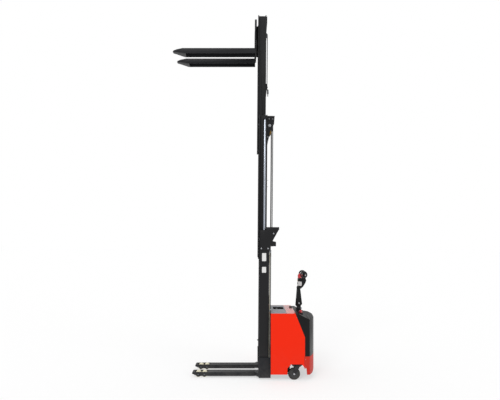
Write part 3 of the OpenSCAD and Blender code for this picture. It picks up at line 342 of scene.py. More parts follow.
@dataclass(frozen=True)
class Finish:
    """One finish of the machine, with its colour, gloss and fine relief."""

    name: str
    colour: str
    roughness: float = 0.4
    metallic: float = 0.0
    coat: float = 0.0
    grain: Grain = Grain.ORANGE_PEEL
    relief: float = 0.04
    grain_scale: float = 1.0
    variation: float = 0.3
    variation_scale: float = 3.0
    edge: float = 0.0015
    edge_wear_and_highlight: float = 0.0
    edge_wear_and_highlight_colour: str = "#6d6f74"
    dust: float = 0.0
    dust_height: float = 0.5
    specular: float = 0.5

    def material(self, effects: EffectLibrary) -> bpy.types.Material:
        """Builds this finish, or returns it if it is there already.

        Args:
            effects: Shared shader effects.

        Returns:
            The material.
        """
        found = bpy.data.materials.get(self.name)
        if found:
            return found
        made = bpy.data.materials.new(self.name)
        made.use_nodes = True
        made.diffuse_color = linear(self.colour)
        g = Graph(made.node_tree)
        shader = node_of(made.node_tree, "BSDF_PRINCIPLED")
        g.feed(shader, "Metallic", self.metallic)
        g.feed(shader, "Specular IOR Level", self.specular)
        g.feed(shader, "Coat Weight", self.coat)
        g.feed(shader, "Coat Roughness", 0.08)
        tone = g.group(
            effects.tone,
            {
                "Colour": linear(self.colour), "Amount": self.variation, "Scale": self.variation_scale,
                "Roughness": self.roughness
            }
        )
        colour = tone.outputs["Colour"]
        edge = g.group(effects.edge, {"Radius": self.edge, "Amount": self.edge_wear_and_highlight})
        # Lighter colour in broken patches on the outer edges: partly worn paint, partly a painted
        # highlight; the pale pink of the red paints is painted highlight.
        if self.edge_wear_and_highlight:
            colour = g.mix(edge.outputs["Mask"], colour, linear(self.edge_wear_and_highlight_colour))
        if self.dust:
            dust = g.group(effects.dust, {"Height": self.dust_height, "Amount": self.dust})
            colour = g.mix(dust.outputs["Mask"], colour, linear(DUST_COLOUR))
        g.feed(shader, "Base Color", colour)
        g.feed(shader, "Roughness", tone.outputs["Roughness"])
        normal = edge.outputs["Normal"]
        if self.grain is not Grain.SMOOTH:
            relief = g.group(effects.grain, {"Scale": self.grain_scale})
            normal = g.add(
                "ShaderNodeBump",
                {
                    "Height": relief.outputs[GRAIN_SOCKET[self.grain]], "Strength": self.relief,
                    "Distance": 0.001, "Normal": normal
                }
            ).outputs[0]
        g.feed(shader, "Normal", normal)
        return made


class Finishes:
    """Every finish of the machine by its use."""

    mast = Finish(
        "mast black paint", "#18181a", 0.42, specular=0.22, relief=0.10, variation=0.35,
        variation_scale=2.2, edge_wear_and_highlight=0.35, edge_wear_and_highlight_colour="#55575b", dust=0.10
    )
    fork = Finish(
        "fork black paint", "#1c1d20", 0.40, specular=0.22, relief=0.10, variation=0.3, edge_wear_and_highlight=0.45,
        edge_wear_and_highlight_colour="#63666c", dust=0.02
    )
    structure = Finish(
        "structure black paint", "#1b1c20", 0.40, specular=0.22, relief=0.10, variation=0.3, edge_wear_and_highlight=0.35,
        edge_wear_and_highlight_colour="#5d6066", dust=0.16, dust_height=0.3
    )
    # Its pale pink edge colour is a painted highlight along the panel edges.
    red = Finish(
        "red panel paint", "#e82400", 0.45, specular=0.14, relief=0.05, variation=0.10, variation_scale=1.6,
        edge=0.003, edge_wear_and_highlight=0.12, edge_wear_and_highlight_colour="#ff7a5e", dust=0.05
    )
    # Its pale pink edge colour is a painted highlight along the guard's edges.
    guard_red = Finish(
        "red guard paint", "#bf2412", 0.45, specular=0.2, relief=0.05, variation=0.15, edge=0.003,
        edge_wear_and_highlight=0.12, edge_wear_and_highlight_colour="#f07a66", dust=0.10
    )
    # A lighter, pinker red than the side panels: painted highlight of the light falling on the deck's top.
    lit_deck_red = Finish("red deck paint", "#d8402e", 0.16, coat=0.8, relief=0.04, variation=0.08, edge=0.003)
    lid = Finish(
        "grey moulded lid", "#84858c", 0.36, grain=Grain.MOULDED, relief=0.05, variation=0.12, edge=0.003
    )
    cover = Finish(
        "black moulded cover", "#0e0e0f", 0.34, specular=0.2, grain=Grain.MOULDED, relief=0.12,
        variation=0.25, edge=0.003, edge_wear_and_highlight=0.06, edge_wear_and_highlight_colour="#4a4a4c"
    )
    moulding = Finish(
        "black grip moulding", "#131415", 0.46, specular=0.22, grain=Grain.MOULDED, relief=0.18,
        variation=0.25, edge=0.002
    )
    rubber = Finish("black soft grip", "#151516", 0.62, grain=Grain.MOULDED, relief=0.3, variation=0.2)
    light_plastic = Finish(
        "light grey plastic", "#c6c5c4", 0.40, grain=Grain.MOULDED, relief=0.05, variation=0.08
    )
    red_plastic = Finish(
        "red button plastic", "#c8202a", 0.25, coat=0.4, grain=Grain.SMOOTH, variation=0.08
    )
    teal = Finish("instrument window", "#173a42", 0.12, coat=0.8, grain=Grain.SMOOTH, variation=0.1)
    yellow = Finish("yellow push button", "#d9a514", 0.35, grain=Grain.SMOOTH, variation=0.1)
    chrome = Finish(
        "hard chrome", "#aab0ba", 0.16, metallic=1.0, grain=Grain.TURNED, relief=0.004, variation=0.05
    )
    steel = Finish(
        "turned steel", "#6d6f73", 0.32, metallic=1.0, grain=Grain.TURNED, relief=0.10, variation=0.25
    )
    zinc = Finish(
        "zinc plate", "#b4b7bb", 0.28, metallic=1.0, grain=Grain.TURNED, relief=0.06, variation=0.25
    )
    chain = Finish(
        "oiled chain", "#2b2c2e", 0.48, metallic=0.35, specular=0.3, grain=Grain.DRAWN, relief=0.08,
        variation=0.45, variation_scale=40.0
    )
    amber = Finish("amber nylon", "#a98434", 0.42, grain=Grain.TURNED, relief=0.08, variation=0.25)
    hose = Finish("hydraulic hose cover", "#23241f", 0.55, grain=Grain.RIBBED, relief=0.35, variation=0.2)
    olive_hose = Finish("olive hose cover", "#3c3c36", 0.6, grain=Grain.RIBBED, relief=0.3, variation=0.2)
    pipe = Finish(
        "passivated pipe", "#a09b8a", 0.38, metallic=0.55, grain=Grain.DRAWN, relief=0.08, variation=0.25
    )
    tread = Finish(
        "cream polyurethane", "#e8e2c6", 0.42, grain=Grain.TURNED, relief=0.08, variation=0.15, dust=0.12,
        dust_height=0.12
    )
    tyre = Finish(
        "dark wheel tyre", "#1a1916", 0.6, grain=Grain.TURNED, relief=0.25, variation=0.35, dust=0.2,
        dust_height=0.2
    )
    drive_tread = Finish(
        "brown polyurethane", "#5a3a24", 0.5, grain=Grain.TURNED, relief=0.2, variation=0.3, dust=0.15,
        dust_height=0.25
    )
    hub = Finish("grey cast hub", "#38393a", 0.55, metallic=0.2, relief=0.4, variation=0.35)
    iron = Finish(
        "cast drive housing", "#45474b", 0.5, metallic=0.3, relief=0.5, grain_scale=0.6, variation=0.3
    )
    housing = Finish("grey machine paint", "#55585c", 0.45, variation=0.2, edge_wear_and_highlight=0.2)
    battery = Finish("battery box coating", "#33363b", 0.5, relief=0.2, variation=0.25, edge_wear_and_highlight=0.2)
    aluminium = Finish(
        "bead-blasted aluminium", "#8b8e92", 0.38, metallic=0.9, grain=Grain.MOULDED, relief=0.15
    )
    plate = Finish("blank rating plate", "#d8d8d6", 0.4, grain=Grain.SMOOTH, variation=0.05)


# ---------------------------------------------------------------- shapes


def move(x: float, y: float, z: float) -> Matrix:
    """Returns a shift in millimetres as a matrix in metres."""
    return Matrix.Translation((x * MM, y * MM, z * MM))


def turn(axis: str, degrees: float) -> Matrix:
    """Returns a turn about one axis."""
    return Matrix.Rotation(math.radians(degrees), 4, axis)


ALONG_X = turn("Y", 90)
ALONG_Y = turn("X", -90)
FLIP_Y = Matrix.Scale(-1, 4, (0, 1, 0))


def new_object(name: str, data: bpy.types.ID) -> bpy.types.Object:
    """Makes an object of the scene from its data."""
    made = bpy.data.objects.new(name, data)
    bpy.context.scene.collection.objects.link(made)
    return made


def closed(side: Outline) -> list[tuple[float, float]]:
    """Closes a section whose second half mirrors the first across level 0."""
    return [*side, *((radius, -level) for radius, level in reversed(side)), side[0]]


@dataclass
class Shape:
    """A mesh under construction, in metres, before it becomes an object."""

    mesh: bmesh.types.BMesh = field(default_factory=bmesh.new)

    def box(self, low: Point, high: Point, at: Matrix = Matrix()) -> "Shape":
        """Adds a block.

        Args:
            low: Lowest corner in millimetres.
            high: Highest corner in millimetres.
            at: Where the block's own frame is.

        Returns:
            This shape.
        """
        size = [(b - a) * MM for a, b in zip(low, high)]
        middle = [(a + b) / 2 * MM for a, b in zip(low, high)]
        bmesh.ops.create_cube(
            self.mesh, matrix=at @ Matrix.Translation(middle) @ Matrix.Diagonal((*size, 1))
        )
        return self

    def lathe(self, profile: Outline, at: Matrix, steps: int = 48) -> "Shape":
        """Adds a turned solid.

        Args:
            profile: Radius and height pairs in millimetres, from one end to the other.
            at: Matrix that takes the turning axis from Z to its place.
            steps: Facets round the axis.

        Returns:
            This shape.
        """
        rings = []
        for radius, height in profile:
            if radius < 1e-6:
                rings.append([self.mesh.verts.new(at @ Vector((0, 0, height * MM)))])
                continue
            angles = [2 * math.pi * i / steps for i in range(steps)]
            rings.append(
                [
                    self.mesh.verts.new(
                        at @ Vector((radius * MM * math.cos(a), radius * MM * math.sin(a), height * MM))
                    )
                    for a in angles
                ]
            )
        made = []
        for low, high in zip(rings, rings[1:]):
            for i in range(steps):
                j = (i + 1) % steps
                corners = [low[i % len(low)], low[j % len(low)], high[j % len(high)], high[i % len(high)]]
                ring = list(dict.fromkeys(corners))
                if len(ring) > 2:
                    made.append(self.mesh.faces.new(ring))
        if profile[0] == profile[-1]:
            bmesh.ops.remove_doubles(self.mesh, verts=rings[0] + rings[-1], dist=1e-7)
        self._outward([f for f in made if f.is_valid])
        return self

    def prism(self, outline: Outline, low: float, high: float, at: Matrix = Matrix()) -> "Shape":
        """Adds a plate of any outline, standing along its frame's Z.

        Args:
            outline: Corners in millimetres, in order.
            low: Lower level in millimetres.
            high: Upper level in millimetres.
            at: Where the plate's own frame is.

        Returns:
            This shape.
        """
        rings = [
            [self.mesh.verts.new(at @ Vector((x * MM, y * MM, z * MM))) for x, y in outline]
            for z in (low, high)
        ]
        count = len(outline)
        made = [self.mesh.faces.new(rings[0]), self.mesh.faces.new(rings[1])]
        made += [
            self.mesh.faces.new(
                (rings[0][i], rings[0][(i + 1) % count], rings[1][(i + 1) % count], rings[1][i])
            )
            for i in range(count)
        ]
        self._outward(made)
        return self

    def tube(
        self, path: Sequence[Point], radius: float, at: Matrix = Matrix(), steps: int = 20
    ) -> "Shape":
        """Adds a round bar that follows a path.

        Args:
            path: Points in millimetres.
            radius: Radius in millimetres.
            at: Where the path's own frame is.
            steps: Facets round the bar.

        Returns:
            This shape.
        """
        points = [Vector(p) * MM for p in path]
        rings = []
        side = None
        for i, point in enumerate(points):
            before = points[max(i - 1, 0)]
            after = points[min(i + 1, len(points) - 1)]
            ahead = (after - before).normalized()
            if side is None:
                side = ahead.orthogonal().normalized()
            side = (side - ahead * side.dot(ahead)).normalized()
            other = ahead.cross(side)
            angles = [2 * math.pi * j / steps for j in range(steps)]
            rings.append(
                [
                    self.mesh.verts.new(
                        at @ (point + (side * math.cos(a) + other * math.sin(a)) * radius * MM)
                    )
                    for a in angles
                ]
            )
        made = []
        for low, high in zip(rings, rings[1:]):
            made += [
                self.mesh.faces.new((low[j], low[(j + 1) % steps], high[(j + 1) % steps], high[j]))
                for j in range(steps)
            ]
        made += [self.mesh.faces.new(rings[0]), self.mesh.faces.new(rings[-1])]
        self._outward(made)
        return self

    def _outward(self, faces: list[bmesh.types.BMFace]) -> None:
        """Turns the given closed set of faces outward."""
        bmesh.ops.recalc_face_normals(self.mesh, faces=faces)

    def merge(self, other: bpy.types.Object) -> "Shape":
        """Adds the mesh of an object.

        Args:
            other: Object whose mesh, in its place, is added.

        Returns:
            This shape.
        """
        before = len(self.mesh.verts)
        self.mesh.from_mesh(other.data)
        self.mesh.verts.ensure_lookup_table()
        bmesh.ops.transform(self.mesh, matrix=other.matrix_world, verts=self.mesh.verts[before:])
        return self

    def mirrored(self) -> "Shape":
        """Adds the mirror image across the machine's middle plane, and returns this shape."""
        geometry = self.mesh.verts[:] + self.mesh.edges[:] + self.mesh.faces[:]
        copy = bmesh.ops.duplicate(self.mesh, geom=geometry)["geom"]
        verts = [v for v in copy if isinstance(v, bmesh.types.BMVert)]
        faces = [f for f in copy if isinstance(f, bmesh.types.BMFace)]
        bmesh.ops.transform(self.mesh, matrix=FLIP_Y, verts=verts)
        bmesh.ops.reverse_faces(self.mesh, faces=faces)
        return self

    def soften(
        self, width: float, segments: int = 2, limit: float = 28.0, long_only: bool = False
    ) -> "Shape":
        """Rounds the outer and inner corners.

        Args:
            width: Radius in millimetres.
            segments: Steps of the rounding.
            limit: Smallest bend in degrees that counts as a corner.
            long_only: Whether short edges are left as they are.

        Returns:
            This shape.
        """
        bmesh.ops.remove_doubles(self.mesh, verts=self.mesh.verts, dist=2e-5)
        bmesh.ops.dissolve_limit(
            self.mesh, angle_limit=math.radians(0.5), verts=self.mesh.verts, edges=self.mesh.edges
        )
        chosen = []
        for edge in self.mesh.edges:
            if len(edge.link_faces) != 2 or edge.calc_face_angle(0.0) < math.radians(limit):
                continue
            if long_only and edge.calc_length() < 4 * width * MM:
                continue
            chosen.append(edge)
        bmesh.ops.bevel(
            self.mesh, geom=chosen, offset=width * MM, segments=segments, profile=0.5, affect="EDGES",
            clamp_overlap=True
        )
        return self

    def build(self, name: str, look: Finish, smooth: float = 32.0) -> bpy.types.Object:
        """Turns the shape into an object of the scene.

        Args:
            name: Name of the object.
            look: Its finish.
            smooth: Bend in degrees above which an edge stays sharp.

        Returns:
            The object.
        """
        name = name.replace(" ", "-")
        data = bpy.data.meshes.new(name)
        self.mesh.normal_update()
        self.mesh.to_mesh(data)
        self.mesh.free()
        data.polygons.foreach_set("use_smooth", [True] * len(data.polygons))
        data.set_sharp_from_angle(angle=math.radians(smooth))
        data.materials.append(look.material(EFFECTS))
        return new_object(name, data)


EFFECTS = EffectLibrary()


def turned_outline(radius: float, low: float, high: float, chamfer: float) -> list[tuple[float, float]]:
    """Returns the profile of a solid disc with broken corners.

    Args:
        radius: Radius in millimetres.
        low: Lower level in millimetres.
        high: Upper level in millimetres.
        chamfer: Size of the corner rounding in millimetres.

    Returns:
        Radius and height pairs for a lathe.
    """
    c = chamfer
    return [
        (0, low), (radius - c, low), (radius - 0.3 * c, low + 0.3 * c), (radius, low + c),
        (radius, high - c), (radius - 0.3 * c, high - 0.3 * c), (radius - c, high), (0, high)
    ]


def hexagon(across: float) -> list[tuple[float, float]]:
    """Returns the corners of a hexagon of the given width across its flats."""
    r = across / math.sqrt(3)
    return [(r * math.cos(math.radians(60 * i)), r * math.sin(math.radians(60 * i))) for i in range(6)]


def arc(cx: float, cz: float, r: float, start: float, end: float, steps: int) -> list[tuple[float, float]]:
    """Returns points along an arc, in the plane the caller draws in."""
    out = []
    for i in range(steps + 1):
        a = math.radians(start + (end - start) * i / steps)
        out.append((cx + r * math.cos(a), cz + r * math.sin(a)))
    return out


class Maker:
    """Shared ways of placing a finished piece on the frame."""

    label = "maker"

    def __post_init__(self) -> None:
        """Starts with no pieces."""
        self.pieces: list[bpy.types.Object] = []

    def keep(self, made: bpy.types.Object, body: str, slot: str, *nodes: str) -> bpy.types.Object:
        """Puts a piece on a body and hides the CAD nodes it replaces.

        Args:
            made: The piece.
            body: Body it rides on.
            slot: Material slot of the record; not used.
            *nodes: CAD nodes the piece replaces.

        Returns:
            The piece.
        """
        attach(made, body)
        if nodes:
            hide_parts(*nodes)
        self.pieces.append(made)
        LOG.info("%s: %s on %s", self.label, made.name, body)
        return made

    def refined(
        self, node: str, name: str, body: str, slot: str, look: Finish, width: float = 1.2,
        segments: int = 2
    ) -> bpy.types.Object:
        """Makes the seen piece of a CAD node, with its long corners rounded.

        Args:
            node: CAD node.
            name: Name of the piece.
            body: Body it rides on.
            slot: Material slot of the record.
            look: Its finish.
            width: Corner radius in millimetres.
            segments: Steps of the rounding.

        Returns:
            The piece.
        """
        shape = Shape().merge(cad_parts[node]).soften(width, segments, long_only=True)
        return self.keep(shape.build(name, look), body, slot, node)

    def strand(
        self, made: bpy.types.Object, slot: str, body: str, other: str, start: float, end: float
    ) -> None:
        """Bakes a piece's place into its mesh and keeps it, logging the bodies at its two ends.

        Args:
            made: The piece.
            slot: Material slot of the record; not used.
            body: Body at the start height, named in the log.
            other: Body at the end height, named in the log.
            start: Start height along the mast in millimetres; not used.
            end: End height along the mast in millimetres; not used.
        """
        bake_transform(made)
        self.pieces.append(made)
        LOG.info("%s: %s between %s and %s", self.label, made.name, body, other)


def repaint(made: bpy.types.Object, look: Finish, low: Point, high: Point) -> None:
    """Gives the faces of a piece inside a block another finish.

    Args:
        made: The piece.
        look: The other finish.
        low: Lowest corner of the block in millimetres, along the machine.
        high: Highest corner of the block in millimetres.
    """
    made.data.materials.append(look.material(EFFECTS))
    index = len(made.data.materials) - 1
    place = MACHINE.inverted() @ made.matrix_world
    for face in made.data.polygons:
        spot = place @ face.center / MM
        if all(a <= v <= b for a, v, b in zip(low, spot, high)):
            face.material_index = index


def bolt(shape: Shape, at: Matrix, across: float = 15.0, head: float = 8.0, washer: float = 20.0) -> None:
    """Adds a hexagon bolt head on its washer.

    Args:
        shape: Shape that takes the bolt.
        at: Frame whose Z points out of the surface.
        across: Width across flats in millimetres.
        head: Height of the head in millimetres.
        washer: Diameter of the washer in millimetres, or 0 for none.
    """
    if washer:
        shape.lathe(turned_outline(washer / 2, -0.4, 1.8, 0.4), at, 28)
    shape.prism(hexagon(across), 1.2, head, at)
    shape.lathe(
        [
            (0, head - 0.2), (across / 2 * 0.98, head - 0.2), (across / 2 * 0.86, head + 0.7),
            (0, head + 0.7)
        ],
        at, 28
    )


def screw(shape: Shape, at: Matrix, d: float = 10.0, dome: float = 2.6) -> None:
    """Adds a round-headed screw with a hexagon socket.

    Args:
        shape: Shape that takes the screw.
        at: Frame whose Z points out of the surface.
        d: Head diameter in millimetres.
        dome: Height of the head in millimetres.
    """
    r = d / 2
    profile = [
        (0, dome * 0.35), (r * 0.42, dome * 0.35), (r * 0.46, dome), (r * 0.7, dome * 0.86),
        (r * 0.93, dome * 0.5), (r, 0), (r * 0.98, -0.6)
    ]
    shape.lathe(profile, at, 24)


# ---------------------------------------------------------------- chains


@dataclass(frozen=True)
class LeafLink:
    """One pitch of a leaf chain, laid with the chain's run along X."""

    pitch: float = 12.7
    height: float = 11.6
    width: float = 16.0
    plates: int = 6

    def prototype(self) -> bpy.types.Object:
        """Builds the plates and the pin of one pitch.

        Returns:
            The link as an unlinked object at the origin.
        """
        shape = Shape()
        step = self.width / (self.plates + 0.6)
        r = self.height / 2
        for i in range(self.plates):
            y = (i - (self.plates - 1) / 2) * step
            shift = 0.0 if i % 2 else self.pitch / 2
            waist = r * 0.80
            side = arc(self.pitch / 2, 0, r, -68, 68, 5) + [(0.0, waist)] + arc(
                -self.pitch / 2, 0, r, 112, 248, 5
            ) + [(0.0, -waist)]
            outline = [(x * 0.985 + shift, z) for x, z in side]
            shape.prism(outline, y - step * 0.44, y + step * 0.44, turn("X", 90))
        half = self.width / 2
        for x in (0.0, self.pitch / 2):
            shape.lathe(turned_outline(2.6, -half, half, 0.4), move(x, 0, 0) @ ALONG_Y, 10)
        made = shape.build("leaf link", Finishes.chain)
        bpy.context.scene.collection.objects.unlink(made)
        return made


class ChainTree:
    """Geometry nodes that lay links along a path at an even pitch."""

    def __init__(self, link: LeafLink) -> None:
        """Builds the node tree.

        Args:
            link: Link laid along the path.
        """
        tree = bpy.data.node_groups.new("links along a path", "GeometryNodeTree")
        self.sockets = {}
        kinds = {"Geometry": "Geometry", "Pitch": "Float", "Link": "Object", "Finish": "Material"}
        for label, kind in kinds.items():
            item = tree.interface.new_socket(label, in_out="INPUT", socket_type="NodeSocket" + kind)
            self.sockets[label] = item.identifier
        tree.interface.new_socket("Geometry", in_out="OUTPUT", socket_type="NodeSocketGeometry")
        g = Graph(tree)
        src, out = g.add("NodeGroupInput"), g.add("NodeGroupOutput")
        points = g.add(
            "GeometryNodeCurveToPoints", {"Curve": src.outputs["Geometry"], "Length": src.outputs["Pitch"]},
            mode="LENGTH"
        )
        info = g.add("GeometryNodeObjectInfo", {"Object": src.outputs["Link"]})
        laid = g.add(
            "GeometryNodeInstanceOnPoints",
            {"Points": points.outputs["Points"], "Instance": info.outputs["Geometry"]}
        )
        aim = g.add(
            "FunctionNodeAxesToRotation",
            {"Primary Axis": points.outputs["Tangent"], "Secondary Axis": (0.0, 1.0, 0.0)},
            primary_axis="X", secondary_axis="Y"
        )
        g.feed(laid, "Rotation", aim.outputs[0])
        real = g.add("GeometryNodeRealizeInstances", {"Geometry": laid.outputs[0]})
        look = g.add(
            "GeometryNodeSetMaterial", {"Geometry": real.outputs[0], "Material": src.outputs["Finish"]}
        )
        g.feed(out, "Geometry", look.outputs[0])
        self.tree = tree
        self.link = link
        self.proto = link.prototype()

    def lay(self, name: str, path: Sequence[Point], at: Matrix) -> bpy.types.Object:
        """Lays a chain along a path and bakes it.

        Args:
            name: Name of the piece.
            path: Points in millimetres.
            at: Frame of the path.

        Returns:
            The chain as a plain mesh object.
        """
        name = name.replace(" ", "-")
        curve = bpy.data.curves.new(name + " path", "CURVE")
        curve.dimensions = "3D"
        line = curve.splines.new("POLY")
        line.points.add(len(path) - 1)
        for point, place in zip(line.points, path):
            point.co = (*(at @ (Vector(place) * MM)), 1.0)
        guide = new_object(name + " path", curve)
        modifier = guide.modifiers.new("links", "NODES")
        modifier.node_group = self.tree
        modifier[self.sockets["Pitch"]] = self.link.pitch * MM
        modifier[self.sockets["Link"]] = self.proto
        modifier[self.sockets["Finish"]] = Finishes.chain.material(EFFECTS)
        bpy.context.view_layer.update()
        graph = bpy.context.evaluated_depsgraph_get()
        mesh = bpy.data.meshes.new_from_object(guide.evaluated_get(graph), depsgraph=graph)
        guide.modifiers.clear()
        bpy.data.objects.remove(guide)
        mesh.name = name
        if not mesh.materials:
            mesh.materials.append(Finishes.chain.material(EFFECTS))
        return new_object(name, mesh)


@dataclass
class Chains(Maker):
    """The leaf chains of the stages and of the free lift."""

    anchor_z: float = MAIN_ANCHOR_Z
    lug_z: float = 3220.0
    label: str = "chains"

    def build(self) -> None:
        """Lays every strand and its turn over the wheel."""
        chain = ChainTree(LeafLink())
        for side, word in ((-1, "left"), (1, "right")):
            y = side * MAIN_SHEAVE_Y
            x0, x1 = MAIN_SHEAVE_X + MAIN_SHEAVE_R, MAIN_SHEAVE_X - MAIN_SHEAVE_R
            rear = chain.lay(
                f"main chain rear {word}", [(x0, y, self.anchor_z), (x0, y, MAIN_SHEAVE_Z)], MAST
            )
            self.strand(rear, "chain_steel", "frame", "middle_stage", self.anchor_z, MAIN_SHEAVE_Z)
            over = chain.lay(
                f"main chain turn {word}",
                [(x, y, z) for x, z in arc(MAIN_SHEAVE_X, MAIN_SHEAVE_Z, MAIN_SHEAVE_R, 0, 180, 36)], MAST
            )
            self.keep(over, "middle_stage", "chain_steel")
            front = chain.lay(
                f"main chain front {word}", [(x1, y, self.lug_z), (x1, y, MAIN_SHEAVE_Z)], MAST
            )
            self.strand(front, "chain_steel", "inner_stage", "middle_stage", self.lug_z, MAIN_SHEAVE_Z)
            if side < 0:
                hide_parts("main_chains_rear")
                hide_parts("main_chains_front")
        x0, x1 = FREE_SHEAVE_X + FREE_SHEAVE_R, FREE_SHEAVE_X - FREE_SHEAVE_R
        rear = chain.lay("free lift chain rear", [(x0, 0, FREE_ANCHOR_Z), (x0, 0, FREE_SHEAVE_Z)], MAST)
        self.strand(rear, "chain_steel", "inner_stage", "crosshead", FREE_ANCHOR_Z, FREE_SHEAVE_Z)
        over = chain.lay(
            "free lift chain turn",
            [(x, 0, z) for x, z in arc(FREE_SHEAVE_X, FREE_SHEAVE_Z, FREE_SHEAVE_R, 0, 180, 32)], MAST
        )
        self.keep(over, "crosshead", "chain_steel")
        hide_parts("freelift_chain_rear")
        front = chain.lay(
            "free lift chain front", [(x1, 0, CARRIAGE_ANCHOR_Z), (x1, 0, FREE_SHEAVE_Z)], MAST
        )
        self.strand(
            front, "chain_steel", "inner_stage", "carriage", 2 * FREE_SHEAVE_Z - CARRIAGE_ANCHOR_Z,
            CARRIAGE_ANCHOR_Z
        )
        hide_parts("freelift_chain_front")


# ---------------------------------------------------------------- mast


@dataclass
class Mast(Maker):
    """The three nested stages with their welds, bolts and plates."""

    outer_front: float = 119.0
    outer_rear: float = 252.0
    half_w: float = 341.0
    gusset_t: float = 8.0
    middle_rear: float = 217.0
    middle_top: float = 3662.0
    label: str = "mast"

    def build(self) -> None:
        """Builds the stages, from the outside in."""
        for node, body, width in (
            ("outer_mast", "frame", 1.6), ("middle_mast", "middle_stage", 1.4),
            ("inner_mast", "inner_stage", 1.4)
        ):
            self.refined(node, node.replace("_", " "), body, "mast_paint", Finishes.mast, width)
        self.bolts()
        self.welds()
        self.plates()
        self.anchors()
        self.sheave_pins()

    def bolts(self) -> None:
        """Builds the bolts of the gusset plates."""
        shape = Shape()
        for x, z in (
            (self.outer_front + 24, OUTER_TOP - 255), (self.outer_rear - 16, OUTER_TOP - 255),
            (self.outer_rear + 59, OUTER_TOP - 48)
        ):
            bolt(
                shape, MAST @ move(x, -self.half_w - self.gusset_t, z) @ turn("X", 90) @ turn("Z", x * 0.37)
            )
        shape.mirrored()
        self.keep(shape.build("gusset bolts", Finishes.zinc), "frame", "zinc", "mast_bolts")

    def bead(self, shape: Shape, path: Sequence[Point], radius: float = 2.6) -> None:
        """Adds a weld bead with its ripples.

        Args:
            shape: Shape that takes the bead.
            path: End points in millimetres, along the mast.
            radius: Radius of the bead in millimetres.
        """
        for a, b in zip(path, path[1:]):
            a, b = Vector(a), Vector(b)
            count = max(2, int((b - a).length / 5.0))
            for i in range(count):
                at = MAST @ Matrix.Translation((a + (b - a) * ((i + 0.5) / count)) * MM)
                size = radius * MM * (1.0 + 0.12 * math.sin(i * 2.4))
                bmesh.ops.create_icosphere(shape.mesh, subdivisions=1, radius=size * 1.25, matrix=at)

    def welds(self) -> None:
        """Builds the weld beads that show from outside."""
        shape = Shape()
        y = -self.half_w - 0.4
        low = GUSSET_LOW
        self.bead(shape, [(self.outer_front + 15, y, low), (self.outer_rear - 1, y, low)])
        self.bead(shape, [(self.outer_front + 13, y, low + 12), (self.outer_front + 13, y, OUTER_TOP - 3)])
        for z in (MAIN_ANCHOR_Z, MAIN_ANCHOR_Z - 61):
            self.bead(
                shape,
                [
                    (self.outer_rear + 26, -self.half_w - self.gusset_t + 1, z),
                    (self.outer_rear + 50, -self.half_w - self.gusset_t + 1, z)
                ]
            )
        for z in (330, OUTER_TOP / 2, OUTER_TOP - 457):
            for level in (z, z + 100):
                self.bead(shape, [(self.outer_rear + 1, -276, level), (self.outer_rear + 1, -296, level)])
        shape.mirrored()
        self.keep(shape.build("outer mast welds", Finishes.mast), "frame", "mast_paint")
        middle = Shape()
        y = -206.0
        self.bead(
            middle,
            [
                (self.middle_rear + 1, -213.5, self.middle_top - 340),
                (self.middle_rear + 1, -213.5, self.middle_top - 16)
            ]
        )
        for z in (self.middle_top - 1988 + 40, self.middle_top - 994):
            for level in (z, z + 90):
                self.bead(middle, [(self.middle_rear + 2, y, level), (self.middle_rear + 19, y, level)])
        middle.mirrored()
        self.keep(middle.build("middle mast welds", Finishes.mast), "middle_stage", "mast_paint")

    def plates(self) -> None:
        """Builds the blank rating plates of the outer mast."""
        shape = Shape()
        for z0, z1 in ((1628, 1739), (1469, 1549)):
            x0, x1 = 154.0, 211.0
            y = -self.half_w - 0.7
            at = MAST @ move(0, y, 0) @ turn("X", 90)
            outline = [
                (x0 + 4, z0), (x1 - 4, z0), (x1, z0 + 4), (x1, z1 - 4), (x1 - 4, z1), (x0 + 4, z1),
                (x0, z1 - 4), (x0, z0 + 4)
            ]
            shape.prism(outline, -0.7, 0.4, at)
            for x in (x0 + 5, x1 - 5):
                for z in (z0 + 5, z1 - 5):
                    screw(shape, MAST @ move(x, y - 0.3, z) @ turn("X", 90), 4.0, 1.4)
        self.keep(shape.build("blank plates", Finishes.plate), "frame", "zinc")

    def anchors(self) -> None:
        """Builds the threaded chain anchors of the outer mast and of the inner mast."""
        shape = Shape()
        z = MAIN_ANCHOR_Z
        for side in (-1, 1):
            at = MAST @ move(MAIN_SHEAVE_X + MAIN_SHEAVE_R, side * MAIN_SHEAVE_Y, z)
            shape.box((-9, -10, -1), (9, 10, 3), at)
            for level in (3, 14):
                shape.prism(hexagon(26), level, level + 9, at @ turn("Z", 11 * level))
            shape.lathe(turned_outline(8, 0, 34, 1.0), at, 20)
            shape.box((-7, -8.2, 30), (7, 8.2, 52), at)
        self.keep(shape.build("main chain anchors", Finishes.zinc), "frame", "zinc")
        inner = Shape()
        for y in (-13, 13):
            spot = MAST @ move(228, y, 0)
            inner.lathe(turned_outline(5.5, 3997, 4092, 1.0), spot, 16)
            for level in (4034, 4066):
                inner.prism(hexagon(22), level, level + 20, spot @ turn("Z", level % 37))
        spot = MAST @ move(FREE_SHEAVE_X + FREE_SHEAVE_R, 0, FREE_ANCHOR_Z)
        inner.prism(hexagon(22), -2, 9, spot)
        inner.box((-6, -8.2, 6), (6, 8.2, 22), spot)
        self.keep(inner.build("free lift chain anchor", Finishes.steel), "inner_stage", "zinc")

